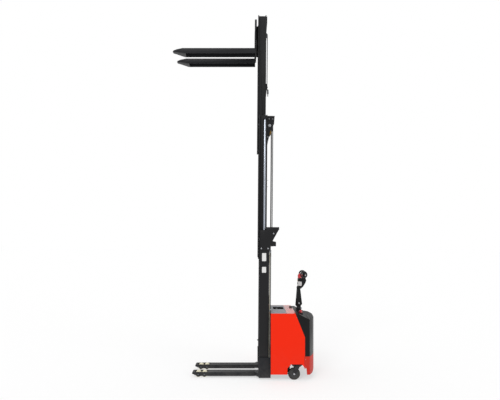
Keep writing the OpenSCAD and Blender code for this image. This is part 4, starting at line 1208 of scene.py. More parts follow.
    def sheave_pins(self) -> None:
        """Builds the hubs and pins of the chain sheaves, and the bolts near them."""
        shape = Shape()
        at = MAST @ move(MAIN_SHEAVE_X, -213.0, MAIN_SHEAVE_Z) @ turn("X", 90)
        shape.lathe(
            [(0, -0.5), (20, -0.5), (20, 1.6), (18.6, 3.0), (9.5, 3.0), (9.5, 5.2), (0, 5.2)], at, 40
        )
        shape.box((-22, -9, 2.5), (-10, 9, 4.6), at)
        bolt(shape, MAST @ move(224, -213.0, 3366) @ turn("X", 90), 13, 7, 18)
        for x, z in ((242, 3618), (292, 3618)):
            bolt(shape, MAST @ move(x, -213.0, z) @ turn("X", 90), 10, 5, 14)
        shape.mirrored()
        self.keep(shape.build("sheave pins", Finishes.zinc), "middle_stage", "zinc")


@dataclass
class Rollers(Maker):
    """The mast rollers, turned with a seal face."""

    d: float = 83.0
    label: str = "rollers"

    def build(self) -> None:
        """Builds a piece for every roller node."""
        bodies = (
            "outer_top_rollers", "middle_foot_rollers", "middle_top_rollers", "inner_foot_rollers",
            "carriage_lower_rollers", "carriage_upper_rollers"
        )
        for node in bodies:
            low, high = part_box(node)
            x = (low[0] + high[0]) / 2 / MM
            z = (low[2] + high[2]) / 2 / MM
            shape = Shape()
            inner_y = self.inner_face(node)
            outer_y = high[1] / MM
            at = move(x, 0, z) @ ALONG_Y
            shape.lathe(self.section(inner_y, outer_y), at, 72)
            shape.mirrored()
            self.keep(shape.build(node.replace("_", " "), Finishes.steel), node, "roller_steel", node)

    def inner_face(self, node: str) -> float:
        """Returns how far from the middle plane the rollers of a node begin, in millimetres."""
        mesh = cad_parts[node]
        return min(abs((mesh.matrix_world @ v.co).y) for v in mesh.data.vertices) / MM

    def section(self, low: float, high: float) -> list[tuple[float, float]]:
        """Returns the closed section of a roller between two faces.

        Args:
            low: Inner face in millimetres.
            high: Outer face in millimetres.

        Returns:
            Radius and height pairs, closed.
        """
        r, bore = self.d / 2, 10.1
        return [
            (bore, low), (22, low), (24, low + 1.5), (33, low + 1.5), (35, low), (r - 3, low),
            (r - 1, low + 0.8), (r, low + 3), (r, high - 3), (r - 1, high - 0.8), (r - 3, high), (35, high),
            (33, high - 1.5), (24, high - 1.5), (22, high), (bore, high), (bore, low)
        ]


@dataclass
class Wheels(Maker):
    """Chain sheaves, the hose pulley, the load rollers, the castor and the drive wheel."""

    label: str = "wheels"

    def grooved(
        self, r: float, w: float, groove: float, depth: float, bore: float, round_groove: bool
    ) -> list[tuple[float, float]]:
        """Returns the closed section of a grooved wheel.

        Args:
            r: Pitch radius in millimetres.
            w: Width in millimetres.
            groove: Width of the groove in millimetres.
            depth: Depth of the groove below the pitch radius in millimetres.
            bore: Radius of the bore in millimetres.
            round_groove: Whether the groove is round instead of square.

        Returns:
            Radius and height pairs, closed.
        """
        half, g, top, floor = w / 2, groove / 2, r + 4, r - depth
        web = half - 4.5
        side = [
            (bore, -half), (bore + 8, -half), (bore + 9, -web), (floor - 8, -web), (floor - 6, -half),
            (top - 1.5, -half), (top, -half + 1.2), (top, -g - 0.8), (top - 0.8, -g)
        ]
        if round_groove:
            groove_part = [
                (r - depth * math.cos(math.radians(a)), g * math.sin(math.radians(a)))
                for a in range(-80, 81, 16)
            ]
        else:
            groove_part = [(floor, -g), (floor, g)]
        mirror = [(a, -b) for a, b in reversed(side)]
        return [*side, *groove_part, *mirror, side[0]]

    def build(self) -> None:
        """Builds every wheel."""
        shape = Shape()
        at = MAST @ move(MAIN_SHEAVE_X, -MAIN_SHEAVE_Y, MAIN_SHEAVE_Z) @ ALONG_Y
        shape.lathe(self.grooved(MAIN_SHEAVE_R, 24, 17, 6.4, 8.0, False), at, 96)
        shape.mirrored()
        self.keep(
            shape.build("chain sheaves", Finishes.steel), "main_sheaves", "roller_steel", "main_sheaves"
        )
        at = MAST @ move(FREE_SHEAVE_X, 0, FREE_SHEAVE_Z) @ ALONG_Y
        shape = Shape().lathe(self.grooved(FREE_SHEAVE_R, 24, 17, 6.4, 8.05, False), at, 96)
        self.keep(
            shape.build("free lift sheave", Finishes.steel), "freelift_sheave", "roller_steel",
            "freelift_sheave"
        )
        at = MAST @ move(HOSE_PULLEY_X, HOSE_Y, HOSE_PULLEY_Z) @ ALONG_Y
        shape = Shape().lathe(self.grooved(HOSE_PULLEY_R, 20, 13, 6.4, 6.05, True), at, 80)
        self.keep(shape.build("hose pulley", Finishes.amber), "hose_pulley", "pulley_gold", "hose_pulley")
        for side, word in ((-1, "left"), (1, "right")):
            for place, x in LOAD_ROLLER_X.items():
                self.load_roller(x, side * LOAD_ROLLER_Y, f"load_roller_{word}_{place}")
        self.castor()
        self.drive()

    def load_roller(self, x: float, y: float, node: str) -> None:
        """Builds a load roller with its steel core.

        Args:
            x: Axle along the machine in millimetres.
            y: Middle across the machine in millimetres.
            node: CAD node and body of the roller.
        """
        at = MACHINE @ move(x, y, LOAD_ROLLER_R) @ ALONG_Y
        half, r = 42.0, LOAD_ROLLER_R
        tread = closed([(27, -half + 1), (38, -half), (39.3, -half + 1.2), (r, -half + 4)])
        shape = Shape().lathe(tread, at, 72)
        self.keep(shape.build(node.replace("_", " ") + " tread", Finishes.tread), node, "cream_pu", node)
        core = closed(
            [
                (10.1, -half + 4), (14, -half + 4), (15, -half + 1), (20, -half + 1), (21, -half + 5),
                (25.5, -half + 3), (27.1, -half + 0.6)
            ]
        )
        shape = Shape().lathe(core, at, 56)
        self.keep(shape.build(node.replace("_", " ") + " core", Finishes.steel), node, "roller_steel")

    def castor(self) -> None:
        """Builds the castor's tyre and hub."""
        at = MACHINE @ move(CASTOR_X, CASTOR_Y, CASTOR_R) @ ALONG_Y
        r, w = CASTOR_R, 23.0
        tyre = closed([(58.6, -w + 2), (61, -w), (r - 10, -w), (r - 4, -w + 2), (r - 0.8, -w + 8), (r, -6)])
        shape = Shape().lathe(tyre, at, 96)
        self.keep(shape.build("castor tyre", Finishes.tyre), "castor_wheel", "wheel_rubber", "castor_wheel")
        hub = closed(
            [
                (7.1, -19), (15, -19), (16, -16.5), (20, -16.5), (24, -16.8), (51, -16.8), (54, -20),
                (58.9, -20.6)
            ]
        )
        shape = Shape().lathe(hub, at, 72)
        self.keep(shape.build("castor hub", Finishes.hub), "castor_wheel", "wheel_rubber")

    def drive(self) -> None:
        """Builds the drive wheel's tread and its bolted hub."""
        at = MACHINE @ move(DRIVE_X, DRIVE_Y, DRIVE_R) @ ALONG_Y
        r, w = DRIVE_R, 35.0
        tread = closed([(80, -w), (r - 3, -w), (r - 0.9, -w + 0.9), (r, -w + 4)])
        shape = Shape().lathe(tread, at, 96)
        self.keep(
            shape.build("drive tread", Finishes.drive_tread), "drive_wheel", "drive_pu", "drive_wheel"
        )
        core = [
            (25.1, -w), (80.1, -w), (80.1, w - 1), (75.5, w - 1), (74.5, w - 14), (36, w - 14),
            (33, w - 10), (25.1, w - 10), (25.1, -w)
        ]
        shape = Shape().lathe(core, at, 80)
        for i in range(7):
            a = 2 * math.pi * i / 7
            bolt(shape, at @ move(54 * math.cos(a), 54 * math.sin(a), w - 14), 13, 8, 18)
        self.keep(shape.build("drive wheel core", Finishes.hub), "drive_wheel", "drive_pu")


@dataclass
class Cylinders(Maker):
    """The side lift cylinders and the free lift cylinder."""

    x: float = 181.0
    y: float = 313.5
    rod: float = 14.0
    label: str = "cylinders"

    def build(self) -> None:
        """Builds barrels, rods, glands and the crosshead."""
        at = MAST @ move(self.x, -self.y, 0)
        bore = self.rod + 0.1
        top = 1885.0
        shape = Shape()
        outer = [
            (0, 77.2), (17, 77.2), (19, 79.2), (19, top - 46), (18.2, top - 45), (18.2, top - 43),
            (19, top - 42), (19, top - 6), (18, top - 2), (16.4, top), (bore, top), (bore, 1200), (0, 1200)
        ]
        shape.lathe(outer, at, 56)
        shape.mirrored()
        self.keep(shape.build("lift barrels", Finishes.mast), "frame", "mast_paint", "lift_barrels")
        rods = Shape()
        rods.lathe(
            [
                (0, 1654.5), (self.rod - 1, 1654.5), (self.rod, 1656), (self.rod, 3574),
                (self.rod - 2, 3578), (9, 3578), (9, 3592), (0, 3592)
            ],
            at, 56
        )
        rods.mirrored()
        self.keep(rods.build("lift rods", Finishes.chrome), "middle_stage", "rod_chrome", "lift_rods")
        self.free_lift()

    def free_lift(self) -> None:
        """Builds the free lift barrel, its rod and the crosshead with the sheave cheeks."""
        at = MAST @ move(FREE_SHEAVE_X, 0, 0)
        foot, top, cross = 3210.0, 4079.0, 4800.0
        outer = [
            (0, foot), (23, foot), (25, foot + 2), (25, top - 52), (24, top - 50), (24, top - 47),
            (25, top - 45), (25, top - 5), (23, top), (18.1, top), (18.1, foot + 30), (0, foot + 30)
        ]
        shape = Shape().lathe(outer, at, 64)
        self.keep(
            shape.build("free lift barrel", Finishes.mast), "inner_stage", "mast_paint", "freelift_barrel"
        )
        rod = Shape().lathe(
            [(0, top - 90), (17, top - 90), (18, top - 88), (18, cross + 0.5), (0, cross + 0.5)], at, 64
        )
        self.keep(rod.build("free lift rod", Finishes.chrome), "crosshead", "rod_chrome")
        head = Shape()
        head.box((-26, -30, cross), (26, 30, cross + 22), at)
        for y0, y1 in ((-25, -17), (17, 25)):
            outline = [
                (-20, cross + 21), (20, cross + 21), (20, 4868)
            ] + arc(0, 4873, 20, 0, 180, 10) + [(-20, 4868)]
            head.prism(outline, -y1, -y0, at @ turn("X", 90))
        head.soften(1.6, 2)
        self.keep(head.build("crosshead", Finishes.mast), "crosshead", "rod_chrome", "freelift_rod")
        pin = Shape()
        spot = at @ move(0, 0, FREE_SHEAVE_Z) @ ALONG_Y
        pin.lathe(turned_outline(8, -28, 28, 0.8), spot, 32)
        for side in (-1, 1):
            pin.lathe(
                [(8, side * 25.3), (12, side * 25.3), (12, side * 27), (8, side * 27), (8, side * 25.3)],
                spot, 28
            )
        self.keep(pin.build("free lift pin", Finishes.zinc), "crosshead", "zinc")


@dataclass
class Hoses(Maker):
    """The lift hose over its pulley, and the pipe and hose behind the near upright."""

    r: float = 6.0
    label: str = "hoses"

    def build(self) -> None:
        """Builds the hose strands, their ferrules, and the clamped pipes."""
        px, pz, pr = HOSE_PULLEY_X, HOSE_PULLEY_Z, HOSE_PULLEY_R
        self.run("rear", "frame", px + pr, LIFT_HOSE_FOOT, 60)
        over = Shape().tube([(x, HOSE_Y, z) for x, z in arc(px, pz, pr, 0, 180, 28)], self.r, MAST, 24)
        self.keep(over.build("lift hose turn", Finishes.hose), "middle_stage", "hose_rubber")
        self.run("front", "inner_stage", px - pr, INNER_HOSE_FOOT, 12)
        for x, z, body in ((px + pr, LIFT_HOSE_FOOT, "frame"), (px - pr, INNER_HOSE_FOOT, "inner_stage")):
            fitting = Shape()
            at = MAST @ move(x, HOSE_Y, z)
            fitting.lathe(
                [
                    (0, -2), (8.5, -2), (8.5, 2), (7.2, 4), (7.6, 6), (7.6, 34), (6.9, 36), (6.2, 38),
                    (0, 38)
                ],
                at, 32
            )
            fitting.prism(hexagon(17), -1, 11, at)
            self.keep(fitting.build(f"hose ferrule {body}", Finishes.zinc), body, "zinc")
        self.pipes()

    def run(self, word: str, body: str, x: float, foot: float, steps: int) -> None:
        """Builds a straight run of the lift hose, from its ferrule to the pulley.

        Args:
            word: Which run it is.
            body: Body that holds its foot.
            x: Distance behind the foot of the lean in millimetres.
            foot: Height of its foot up the mast in millimetres.
            steps: Rings along the run.
        """
        rise = HOSE_PULLEY_Z - foot
        path = [(x, HOSE_Y, foot + rise * i / steps) for i in range(steps + 1)]
        made = Shape().tube(path, self.r, MAST, 24).build(f"lift hose {word}", Finishes.hose)
        self.strand(made, "hose_rubber", body, "middle_stage", foot, HOSE_PULLEY_Z)
        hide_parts(f"lift_hose_{word}")

    def pipes(self) -> None:
        """Builds the pipe and hose behind the near upright, with their clamps and unions."""
        x, y = 260.0, -329.0
        top, low, hose_low = 1761.0, 93.0, 953.0
        pipe = Shape().tube([(x, y, z) for z in (110, 600, 1200, top)], 6.0, MAST, 24)
        self.keep(pipe.build("mast pipe", Finishes.pipe), "frame", "pipe_steel", "mast_pipes")
        hose = Shape().tube(
            [(x + 13.5, y, hose_low + (top - hose_low) * i / 30) for i in range(31)], self.r, MAST, 24
        )
        self.keep(hose.build("mast hose", Finishes.olive_hose), "frame", "hose_rubber")
        clamp = Shape()
        for z, reach in ((top, 21.0), (hose_low - 18, 21.0), (low, 8.0)):
            clamp.box((x - 8, y - 9, z), (x + reach, y + 9, z + 18), MAST)
        clamp.soften(2.0, 2)
        self.keep(clamp.build("pipe clamps", Finishes.steel), "frame", "pipe_steel")
        union = Shape()
        for z in (top - 14, hose_low):
            union.prism(hexagon(15), 0, 14, MAST @ move(x + 13.5, y, z))
        for z in (top - 12, low + 17):
            union.prism(hexagon(15), 0, 12, MAST @ move(x, y, z) @ turn("Z", 20))
        self.keep(union.build("pipe unions", Finishes.zinc), "frame", "zinc")


# ---------------------------------------------------------------- carriage and running gear


@dataclass
class Carriage(Maker):
    """The fork carriage with its two forks and the anchor of the free lift chain."""

    label: str = "carriage"

    def build(self) -> None:
        """Builds the carriage, the forks and the chain's anchor."""
        self.refined("fork_carriage", "fork carriage", "carriage", "mast_paint", Finishes.mast, 1.6)
        for word in ("left", "right"):
            self.refined(f"fork_{word}", f"fork {word}", "carriage", "frame_paint", Finishes.fork, 2.4, 3)
        anchor = Shape()
        at = MAST @ move(FREE_SHEAVE_X - FREE_SHEAVE_R, 0, CARRIAGE_ANCHOR_Z)
        anchor.lathe(turned_outline(7, -34, 12, 1.0), at, 18)
        anchor.prism(hexagon(24), -32, -23, at)
        anchor.prism(hexagon(24), 0, 9, at @ turn("Z", 17))
        anchor.box((-6, -8.2, 8), (6, 8.2, 26), at)
        self.keep(anchor.build("carriage chain anchor", Finishes.zinc), "carriage", "zinc")


@dataclass
class RunningGear(Maker):
    """Chassis, legs, castor, drive unit and steering chain."""

    label: str = "running gear"

    def build(self) -> None:
        """Builds the chassis and what carries it."""
        self.refined("chassis", "chassis", "frame", "frame_paint", Finishes.structure, 2.0)
        for word in ("left", "right"):
            self.refined(f"leg_{word}", f"leg {word}", "frame", "frame_paint", Finishes.structure, 2.0, 3)
        self.axles()
        self.refined("castor_fork", "castor fork", "castor_fork", "frame_paint", Finishes.structure, 1.4)
        hub = Shape()
        for side in (-1, 1):
            at = MACHINE @ move(CASTOR_X, CASTOR_Y + side * 29, CASTOR_R) @ turn("X", -90 * side)
            bolt(hub, at, 19, 8, 26)
        self.keep(hub.build("castor axle nuts", Finishes.zinc), "castor_fork", "zinc")
        self.drive_unit()
        self.refined("steering_chain", "steering chain", "frame", "chain_steel", Finishes.chain, 0.6)

    def axles(self) -> None:
        """Builds the load roller axles."""
        shape = Shape()
        for x in LOAD_ROLLER_X.values():
            at = MACHINE @ move(x, -LOAD_ROLLER_Y, LOAD_ROLLER_R) @ ALONG_Y
            shape.lathe(turned_outline(9.95, -63, 63, 1.0), at, 40)
        shape.mirrored()
        self.keep(shape.build("load axles", Finishes.steel), "frame", "roller_steel", "load_axles")

    def drive_unit(self) -> None:
        """Builds the drive unit's turntable, ribbed motor and gearbox."""
        at = MACHINE @ move(DRIVE_X, DRIVE_Y, 0)
        body = Shape()
        body.lathe(turned_outline(90, 218, 342.4, 3), at, 72)
        body.lathe([(0, 342.4), (105, 342.4), (105, 349.4), (104, 350.4), (86, 351), (0, 351)], at, 72)
        body.box((-50, -79, 60), (50, -39, 270), at)
        body.lathe(turned_outline(59, -79, -39, 4), at @ move(0, 0, DRIVE_R) @ ALONG_Y, 56)
        body.lathe(turned_outline(25, -40, 27, 1), at @ move(0, 0, DRIVE_R) @ ALONG_Y, 40)
        self.keep(body.build("drive housing", Finishes.iron), "drive_unit", "unit_iron", "drive_unit")
        motor = Shape()
        profile = [(0, 350), (73, 350), (75, 353)]
        for i in range(17):
            z = 366 + i * 10.5
            profile += [(75, z), (75, z + 5), (70.5, z + 5.4), (70.5, z + 10.1)]
        profile += [(75, 546), (75, 561), (71, 567), (56, 568), (55, 569), (55, 583), (52, 586), (0, 586)]
        motor.lathe(profile, at, 72)
        for i in range(3):
            a = math.radians(120 * i + 20)
            bolt(motor, at @ move(44 * math.cos(a), 44 * math.sin(a), 577), 10, 6, 0)
        self.keep(motor.build("drive motor", Finishes.cover), "drive_unit", "unit_iron")
        teeth = Shape()
        count, z = 40, 356.0
        outline = []
        for i in range(count):
            for r, share in ((81.5, 0.0), (81.5, 0.3), (85.0, 0.45), (85.0, 0.7)):
                a = 2 * math.pi * (i + share) / count
                outline.append((r * math.cos(a), r * math.sin(a)))
        teeth.prism(outline, z, z + 8, at)
        self.keep(teeth.build("drive sprocket", Finishes.steel), "drive_unit", "chain_steel")


# ---------------------------------------------------------------- covers


@dataclass
class Covers(Maker):
    """Side panels, lower guard, top panel, battery lid and rear cover."""

    front: float = 284.0
    half: float = 400.0
    label: str = "covers"

    def build(self) -> None:
        """Builds every cover."""
        for word in ("left", "right"):
            self.refined(
                f"side_panel_{word}", f"side panel {word}", "frame", "red_paint", Finishes.red, 1.6, 3
            )
        for node, slot, look, width, segments in (
            # The deck's lighter red is painted highlight.
            ("top_panel", "red_paint", Finishes.lit_deck_red, 1.6, 3),
            ("rear_cover", "black_cover", Finishes.cover, 5.0, 4),
            ("lower_guard", "red_paint", Finishes.guard_red, 3.0, 3),
        ):
            self.refined(node, node.replace("_", " "), "frame", slot, look, width, segments)
        self.lid()
        self.fixings()
        self.seam()

    def lid(self) -> None:
        """Builds the lid with its dished handle and grip bar, its hinge pins, and dark strips under its
        side edges that are painted shade of the gap.
        """
        lid = self.refined("battery_lid", "battery lid", "battery_lid", "lid_grey", Finishes.lid, 2.6, 3)
        repaint(
            lid, Finishes.cover, (self.front + 48, -107, BODY_TOP - 20),
            (self.front + 200, 107, BODY_TOP + 15.2)
        )
        y = self.half - 4.5
        x0, x1 = self.front + 6, self.front + 216
        inner = Shape()
        inner.box((x0 + 44.5, -103.5, BODY_TOP - 13.6), (x1 - 18.5, 103.5, BODY_TOP - 12.2), MACHINE)
        inner.lathe(
            turned_outline(6.6, -103, 103, 1.0), MACHINE @ move(x0 + 96, 0, BODY_TOP - 1.0) @ ALONG_Y, 32
        )
        self.keep(inner.build("lid handle", Finishes.cover), "battery_lid", "black_cover")
        hinge = Shape()
        for side in (-1, 1):
            at = MACHINE @ move(self.front + 6, side * 250, BODY_TOP - 14) @ ALONG_Y
            hinge.lathe(turned_outline(4.2, -30, 30, 0.6), at, 18)
        self.keep(hinge.build("lid hinge pins", Finishes.zinc), "frame", "zinc")
        # Dark strips under the lid's side edges: painted shade of the gap between the lid and the side
        # panels.
        painted_shade_strip = Shape()
        for side in (-1, 1):
            edge = side * (y - 1.2)
            painted_shade_strip.box(
                (self.front + 8, edge - 1.0, BODY_TOP - 26), (x1 - 2, edge + 1.0, BODY_TOP - 22.3), MACHINE
            )
        self.keep(painted_shade_strip.build("lid gasket", Finishes.rubber), "frame", "black_cover")

    def fixings(self) -> None:
        """Builds the screws of the covers."""
        shape = Shape()
        for x, z, d in ((760, 290, 14), (760, 180, 14), (640, 862, 9)):
            screw(shape, MACHINE @ move(x, -self.half, z) @ turn("X", 90) @ move(0, 0, -1.8), d, 2.0)
        shape.mirrored()
        self.keep(shape.build("cover screws", Finishes.zinc), "frame", "zinc")

    def seam(self) -> None:
        """Builds the dark sealing strip between the side panels and the rear cover."""
        shape = Shape()
        for side in (-1, 1):
            y = side * (self.half - 6.0)
            outline = [(626, 900), (630, 900), (756, 589), (752, 589)]
            shape.prism(outline, -y - 1.5, -y + 1.5, MACHINE @ turn("X", 90))
            shape.box((752, y - 1.5, 330), (756, y + 1.5, 590), MACHINE)
        self.keep(shape.build("cover seal", Finishes.rubber), "frame", "black_cover")


# ---------------------------------------------------------------- tiller and controls


@dataclass
class Tiller(Maker):
    """The steering tiller with its grips and buttons."""

    x: float = 705.0
    z: float = 1005.0
    label: str = "tiller"

    @property
    def pivot(self) -> Matrix:
        """Frame of the tiller's pivot."""
        return MACHINE @ move(self.x, 0, self.z)

    @property
    def flat(self) -> Matrix:
        """Frame that draws in the machine's side view, extruded across it."""
        return self.pivot @ turn("X", 90)

    def build(self) -> None:
        """Builds the column, arm, head and controls."""
        self.refined(
            "tiller_column", "tiller column", "tiller_column", "frame_paint", Finishes.structure, 1.5
        )
        self.arm()
        self.head()
        self.grips()
        self.buttons()
        self.boot()

    def arm(self) -> None:
        """Builds the hollow arm and its pivot bolt."""
        self.refined("tiller_arm", "tiller arm", "tiller", "black_moulding", Finishes.moulding, 7.0, 4)
        shape = Shape()
        for side in (-1, 1):
            bolt(shape, self.pivot @ move(0, side * 41.6, 0) @ turn("X", -90 * side), 17, 8, 24)
        self.keep(shape.build("tiller pivot bolt", Finishes.zinc), "tiller", "zinc")

    def head(self) -> None:
        """Builds the head's body with its soft shoulders and its panel."""
        outline = [
            (-26, 206), (-30, 226), (-16, 246), (-16, 352), (54, 356), (92, 372), (107, 328), (91, 285),
            (58, 232), (24, 206)
        ]
        body = Shape().prism(outline, -38, 38, self.flat).soften(6.0, 4)
        self.keep(
            body.build("tiller head", Finishes.moulding, 40.0), "tiller", "black_moulding", "tiller_head"
        )
        neck = Shape().prism(
            [(52, 352), (92, 356), (88, 392), (76, 460), (52, 462)], -16, 16, self.flat
        ).soften(5.0, 4)
        self.keep(neck.build("tiller neck", Finishes.moulding, 40.0), "tiller", "black_moulding")
        panel = Shape()
        for side in (-1, 1):
            low, high = (38.0, 39.4) if side < 0 else (-39.4, -38.0)
            panel.prism(
                [(-13, 252), (34, 250), (40, 262), (40, 306), (30, 314), (-13, 314)], low, high, self.flat
            )
        panel.soften(0.6, 2)
        self.keep(panel.build("tiller side panel", Finishes.light_plastic), "tiller", "grey_plastic")
        seam = Shape()
        outline = [(-15, 246), (-15, 352), (-17.2, 350), (-17.2, 248)]
        seam.prism(outline, -33, 33, self.flat)
        self.keep(seam.build("tiller button plate", Finishes.light_plastic), "tiller", "grey_plastic")

    def grips(self) -> None:
        """Builds the two round side grips and the bars between them."""
        ring_x, ring_z, ring_r, tube, y = 62.0, 415.0, 41.0, 11.5, 104.0
        shape = Shape()
        section = [
            (ring_r + tube * math.cos(math.radians(a)), tube * math.sin(math.radians(a)))
            for a in range(0, 360, 15)
        ]
        for side in (-1, 1):
            shape.lathe(section + [section[0]], self.pivot @ move(ring_x, side * y, ring_z) @ ALONG_Y, 72)
        self.keep(shape.build("tiller side grips", Finishes.rubber, 60.0), "tiller", "black_moulding")
        bars = Shape()
        for side in (-1, 1):
            top = [(0, 0), (tube - 0.3, 0)]
            ribs = [(tube - 0.3 - (0.9 if i % 2 else 0.0), 14 + 3.0 * i) for i in range(27)]
            bars.lathe(
                top + ribs + [(tube - 0.3, 98), (0, 98)],
                self.pivot @ move(ring_x, 0, ring_z + ring_r) @ turn("X", -90 * side), 36
            )
            bars.lathe(
                turned_outline(10, 0, 98, 1.0),
                self.pivot @ move(ring_x + 26, 0, ring_z - ring_r + 9) @ turn("X", -90 * side), 32
            )
        self.keep(bars.build("tiller cross grips", Finishes.rubber, 50.0), "tiller", "black_moulding")

    def buttons(self) -> None:
        """Builds the throttle paddles, the belly button and the push buttons."""
        paddle = Shape()
        for side in (-1, 1):
            low, high = (side * 39, side * 62)
            a, b = sorted((-low, -high))
            outline = arc(34, 332, 17, -120, 120, 16) + [(2, 341), (-4, 335), (-4, 329), (2, 323)]
            paddle.prism(outline, a, b, self.flat)
        paddle.soften(2.5, 3)
        paddle.lathe(turned_outline(7, -46, 46, 0.6), self.pivot @ move(34, 0, 332) @ ALONG_Y, 28)
        self.keep(
            paddle.build("throttle paddles", Finishes.cover, 40.0), "throttle", "black_moulding", "throttle"
        )
        belly = Shape().prism(
            [(-14, 358), (50, 362), (50, 408), (34, 428), (6, 424), (-14, 402)], -32, 32, self.flat
        ).soften(7.0, 4)
        belly.lathe(turned_outline(6, 326, 366, 0.5), self.pivot @ move(16, 0, 0), 24)
        self.keep(
            belly.build("belly button", Finishes.red_plastic, 40.0), "belly_button", "red_plastic",
            "belly_button"
        )
        for node, y, z, r, look in (
            ("horn_button", 0, 328, 10, Finishes.yellow), ("lift_button", -18, 284, 8, Finishes.moulding),
            ("lower_button", 18, 284, 8, Finishes.moulding)
        ):
            shape = Shape()
            at = self.pivot @ move(-21, y, z) @ ALONG_X
            shape.lathe(
                [(0, 0), (r * 0.6, 0.5), (r * 0.86, 1.6), (r, 3.6), (r, 13), (r - 1, 14), (0, 14)], at, 32
            )
            self.keep(shape.build(node.replace("_", " "), look), node, "grey_plastic", node)

    def boot(self) -> None:
        """Builds the folded rubber boot round the foot of the column's clevis."""
        shape = Shape()
        profile = [(27, 880)]
        for i in range(5):
            z = 884 + i * 7
            profile += [(50 - 3 * i, z), (46 - 3 * i, z + 3.5)]
        profile += [(30, 921), (26, 921), (26, 880), (27, 880)]
        shape.lathe(profile, MACHINE @ move(self.x, 0, 0), 64)
        self.keep(shape.build("column boot", Finishes.rubber, 50.0), "tiller_column", "black_moulding")


@dataclass
class Controls(Maker):
    """Emergency stop, key switch and instrument."""

    cover_top: float = 902.0
    label: str = "controls"

    def build(self) -> None:
        """Builds the controls on the body."""
        at = MACHINE @ move(713, -205, self.cover_top)
        mushroom = [
            (0, 2), (11, 2), (11, 12), (16, 12.4), (19.4, 14), (20, 17), (19.2, 21), (16, 25), (10, 27.4),
            (0, 28)
        ]
        shape = Shape().lathe(mushroom, at, 56)
        self.keep(
            shape.build("emergency stop", Finishes.red_plastic, 50.0), "emergency_stop", "red_plastic",
            "emergency_stop"
        )
        ring = [(11.6, 0.4), (28, 0.4), (28, 4.4), (26, 6.4), (12.4, 6.4), (11.6, 5.6), (11.6, 0.4)]
        shape = Shape().lathe(ring, at, 56)
        self.keep(shape.build("stop ring", Finishes.red_plastic), "frame", "grey_plastic")
        self.key()
        self.screen()

    def key(self) -> None:
        """Builds the key switch with its key."""
        at = MACHINE @ move(598, 70, BODY_TOP)
        shape = Shape()
        shape.lathe([(0, -20), (6.9, -20), (6.9, 0.4), (11, 0.4), (11, 4.6), (9.5, 6.4), (0, 6.4)], at, 40)
        bow = [(-11, 10), (-11, 22), (-7, 26), (7, 26), (11, 22), (11, 10), (4, 6), (-4, 6)]
        shape.prism(bow, -2, 2, at @ turn("Z", 90) @ turn("X", 90))
        self.keep(shape.build("key switch", Finishes.zinc), "key_switch", "zinc", "key_switch")

    def screen(self) -> None:
        """Builds the instrument with its window."""
        x0, x1 = 580.0, 618.0
        shape = Shape().box((x0, 110, BODY_TOP + 0.4), (x1, 210, BODY_TOP + 14), MACHINE).soften(3.0, 3)
        self.keep(shape.build("instrument case", Finishes.cover), "frame", "black_cover", "instrument")
        window = Shape().box(
            (x0 + 5, 118, BODY_TOP + 12), (x1 - 5, 202, BODY_TOP + 14.0), MACHINE
        ).soften(0.5, 2)
        self.keep(window.build("instrument window", Finishes.teal), "frame", "grey_plastic")


# ---------------------------------------------------------------- inside the body


@dataclass
class Internals(Maker):
    """Battery, power pack and controller behind the covers."""

    label: str = "internals"

    def build(self) -> None:
        """Builds what shows when the lid is open."""
        self.refined("battery", "battery case", "frame", "battery_case", Finishes.battery, 3.0, 3)
        self.refined("power_pack", "power pack", "frame", "pack_metal", Finishes.housing, 3.0, 3)
        self.refined("controller", "controller case", "frame", "controller_metal", Finishes.aluminium, 1.5)
        caps, leads = Shape(), Shape()
        for i in range(12):
            y = -198.0 + 36.0 * i
            for x in (362.0, 480.0):
                caps.lathe([(14, 653), (14, 660), (12, 663), (0, 664)], MACHINE @ move(x, y, 0), 24)
            leads.box((376, y - 9, 653), (466, y + 9, 658), MACHINE)
        self.keep(caps.build("battery cell caps", Finishes.light_plastic), "frame", "grey_plastic")
        leads.soften(1.5, 2)
        self.keep(leads.build("battery cell links", Finishes.steel), "frame", "zinc")


# ---------------------------------------------------------------- scene


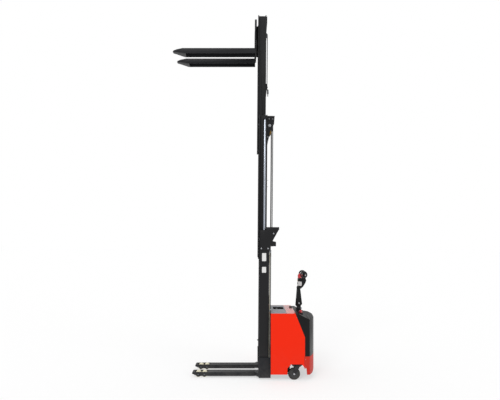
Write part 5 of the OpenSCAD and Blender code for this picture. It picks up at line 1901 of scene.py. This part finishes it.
class Stage:
    """Floor, light and camera."""

    def floor(self) -> None:
        """Builds the plain pale floor."""
        shape = Shape()
        corners = ((-40, -14), (40, -14), (40, 60), (-40, 60))
        shape.mesh.faces.new([shape.mesh.verts.new((x, y, 0.0)) for x, y in corners])
        data = bpy.data.meshes.new("floor")
        shape.mesh.to_mesh(data)
        shape.mesh.free()
        made = new_object("floor", data)
        look = bpy.data.materials.new("floor")
        look.use_nodes = True
        g = Graph(look.node_tree)
        shader = node_of(look.node_tree, "BSDF_PRINCIPLED")
        g.feed(shader, "Base Color", (0.42, 0.42, 0.42, 1))
        g.feed(shader, "Emission Color", (1.0, 1.0, 1.0, 1))
        g.feed(shader, "Emission Strength", 0.55)
        g.feed(shader, "Roughness", 1.0)
        g.feed(shader, "Specular IOR Level", 0.0)
        data.materials.append(look)

    def world(self) -> None:
        """Sets the white surroundings: plain to the eye, softer as a light."""
        world = bpy.data.worlds.new("surroundings")
        bpy.context.scene.world = world
        world.use_nodes = True
        g = Graph(world.node_tree)
        back = node_of(world.node_tree, "BACKGROUND")
        paths = g.add("ShaderNodeLightPath")
        seen = g.math("ADD", paths.outputs["Is Camera Ray"], paths.outputs["Is Transmission Ray"])
        place = g.place("Generated")
        height = g.add("ShaderNodeSeparateXYZ", {0: place}).outputs["Z"]
        rise = g.add(
            "ShaderNodeMapRange",
            {"Value": height, "From Min": -0.15, "From Max": 0.9, "To Min": 0.55, "To Max": 0.95}
        )
        strength = g.add("ShaderNodeMix", {"Factor": seen, 3: 1.0}, data_type="FLOAT")
        g.feed(strength, 2, rise.outputs[0])
        g.feed(back, "Color", (1, 1, 1, 1))
        g.feed(back, "Strength", strength.outputs[0])

    def lamp(self, name: str, place: Point, target: Point, energy: float, spread: float) -> None:
        """Adds a sun lamp.

        Args:
            name: Name of the lamp.
            place: Where it is, in metres.
            target: What it looks at, in metres.
            energy: Its power.
            spread: The angle it shines from, in degrees.
        """
        data = bpy.data.lights.new(name, "SUN")
        data.energy = energy
        data.angle = math.radians(spread)
        made = new_object(name, data)
        made.location = place
        made.rotation_euler = (Vector(target) - Vector(place)).to_track_quat("-Z", "Y").to_euler()

    def camera(self) -> None:
        """Places the camera level with the middle of the machine."""
        data = bpy.data.cameras.new("camera")
        data.lens = 34.80
        data.sensor_width = 36.0
        data.shift_y = 0.07
        data.clip_end = 200.0
        made = new_object("camera", data)
        made.location = (0.0862, -7.0, 1.987)
        made.rotation_euler = (math.radians(90), 0, 0)
        bpy.context.scene.camera = made

    def build(self) -> None:
        """Builds the whole stage."""
        self.floor()
        self.world()
        self.lamp("key light", (-3.0, -7.0, 8.0), (0.0, 0.0, 1.8), 0.9, 25.0)
        self.lamp("side light", (6.0, -5.0, 4.0), (0.0, 0.0, 1.8), 0.35, 30.0)
        self.camera()
        bpy.context.scene.view_settings.view_transform = "Standard"


def main() -> None:
    """Builds the machine from the mast outwards, then its surroundings."""
    for maker in (
        Mast(), Carriage(), Cylinders(), Rollers(), Wheels(), Chains(), Hoses(), RunningGear(), Covers(),
        Tiller(), Controls(), Internals()
    ):
        maker.build()
    Stage().build()


if __name__ == "__main__":
    main()
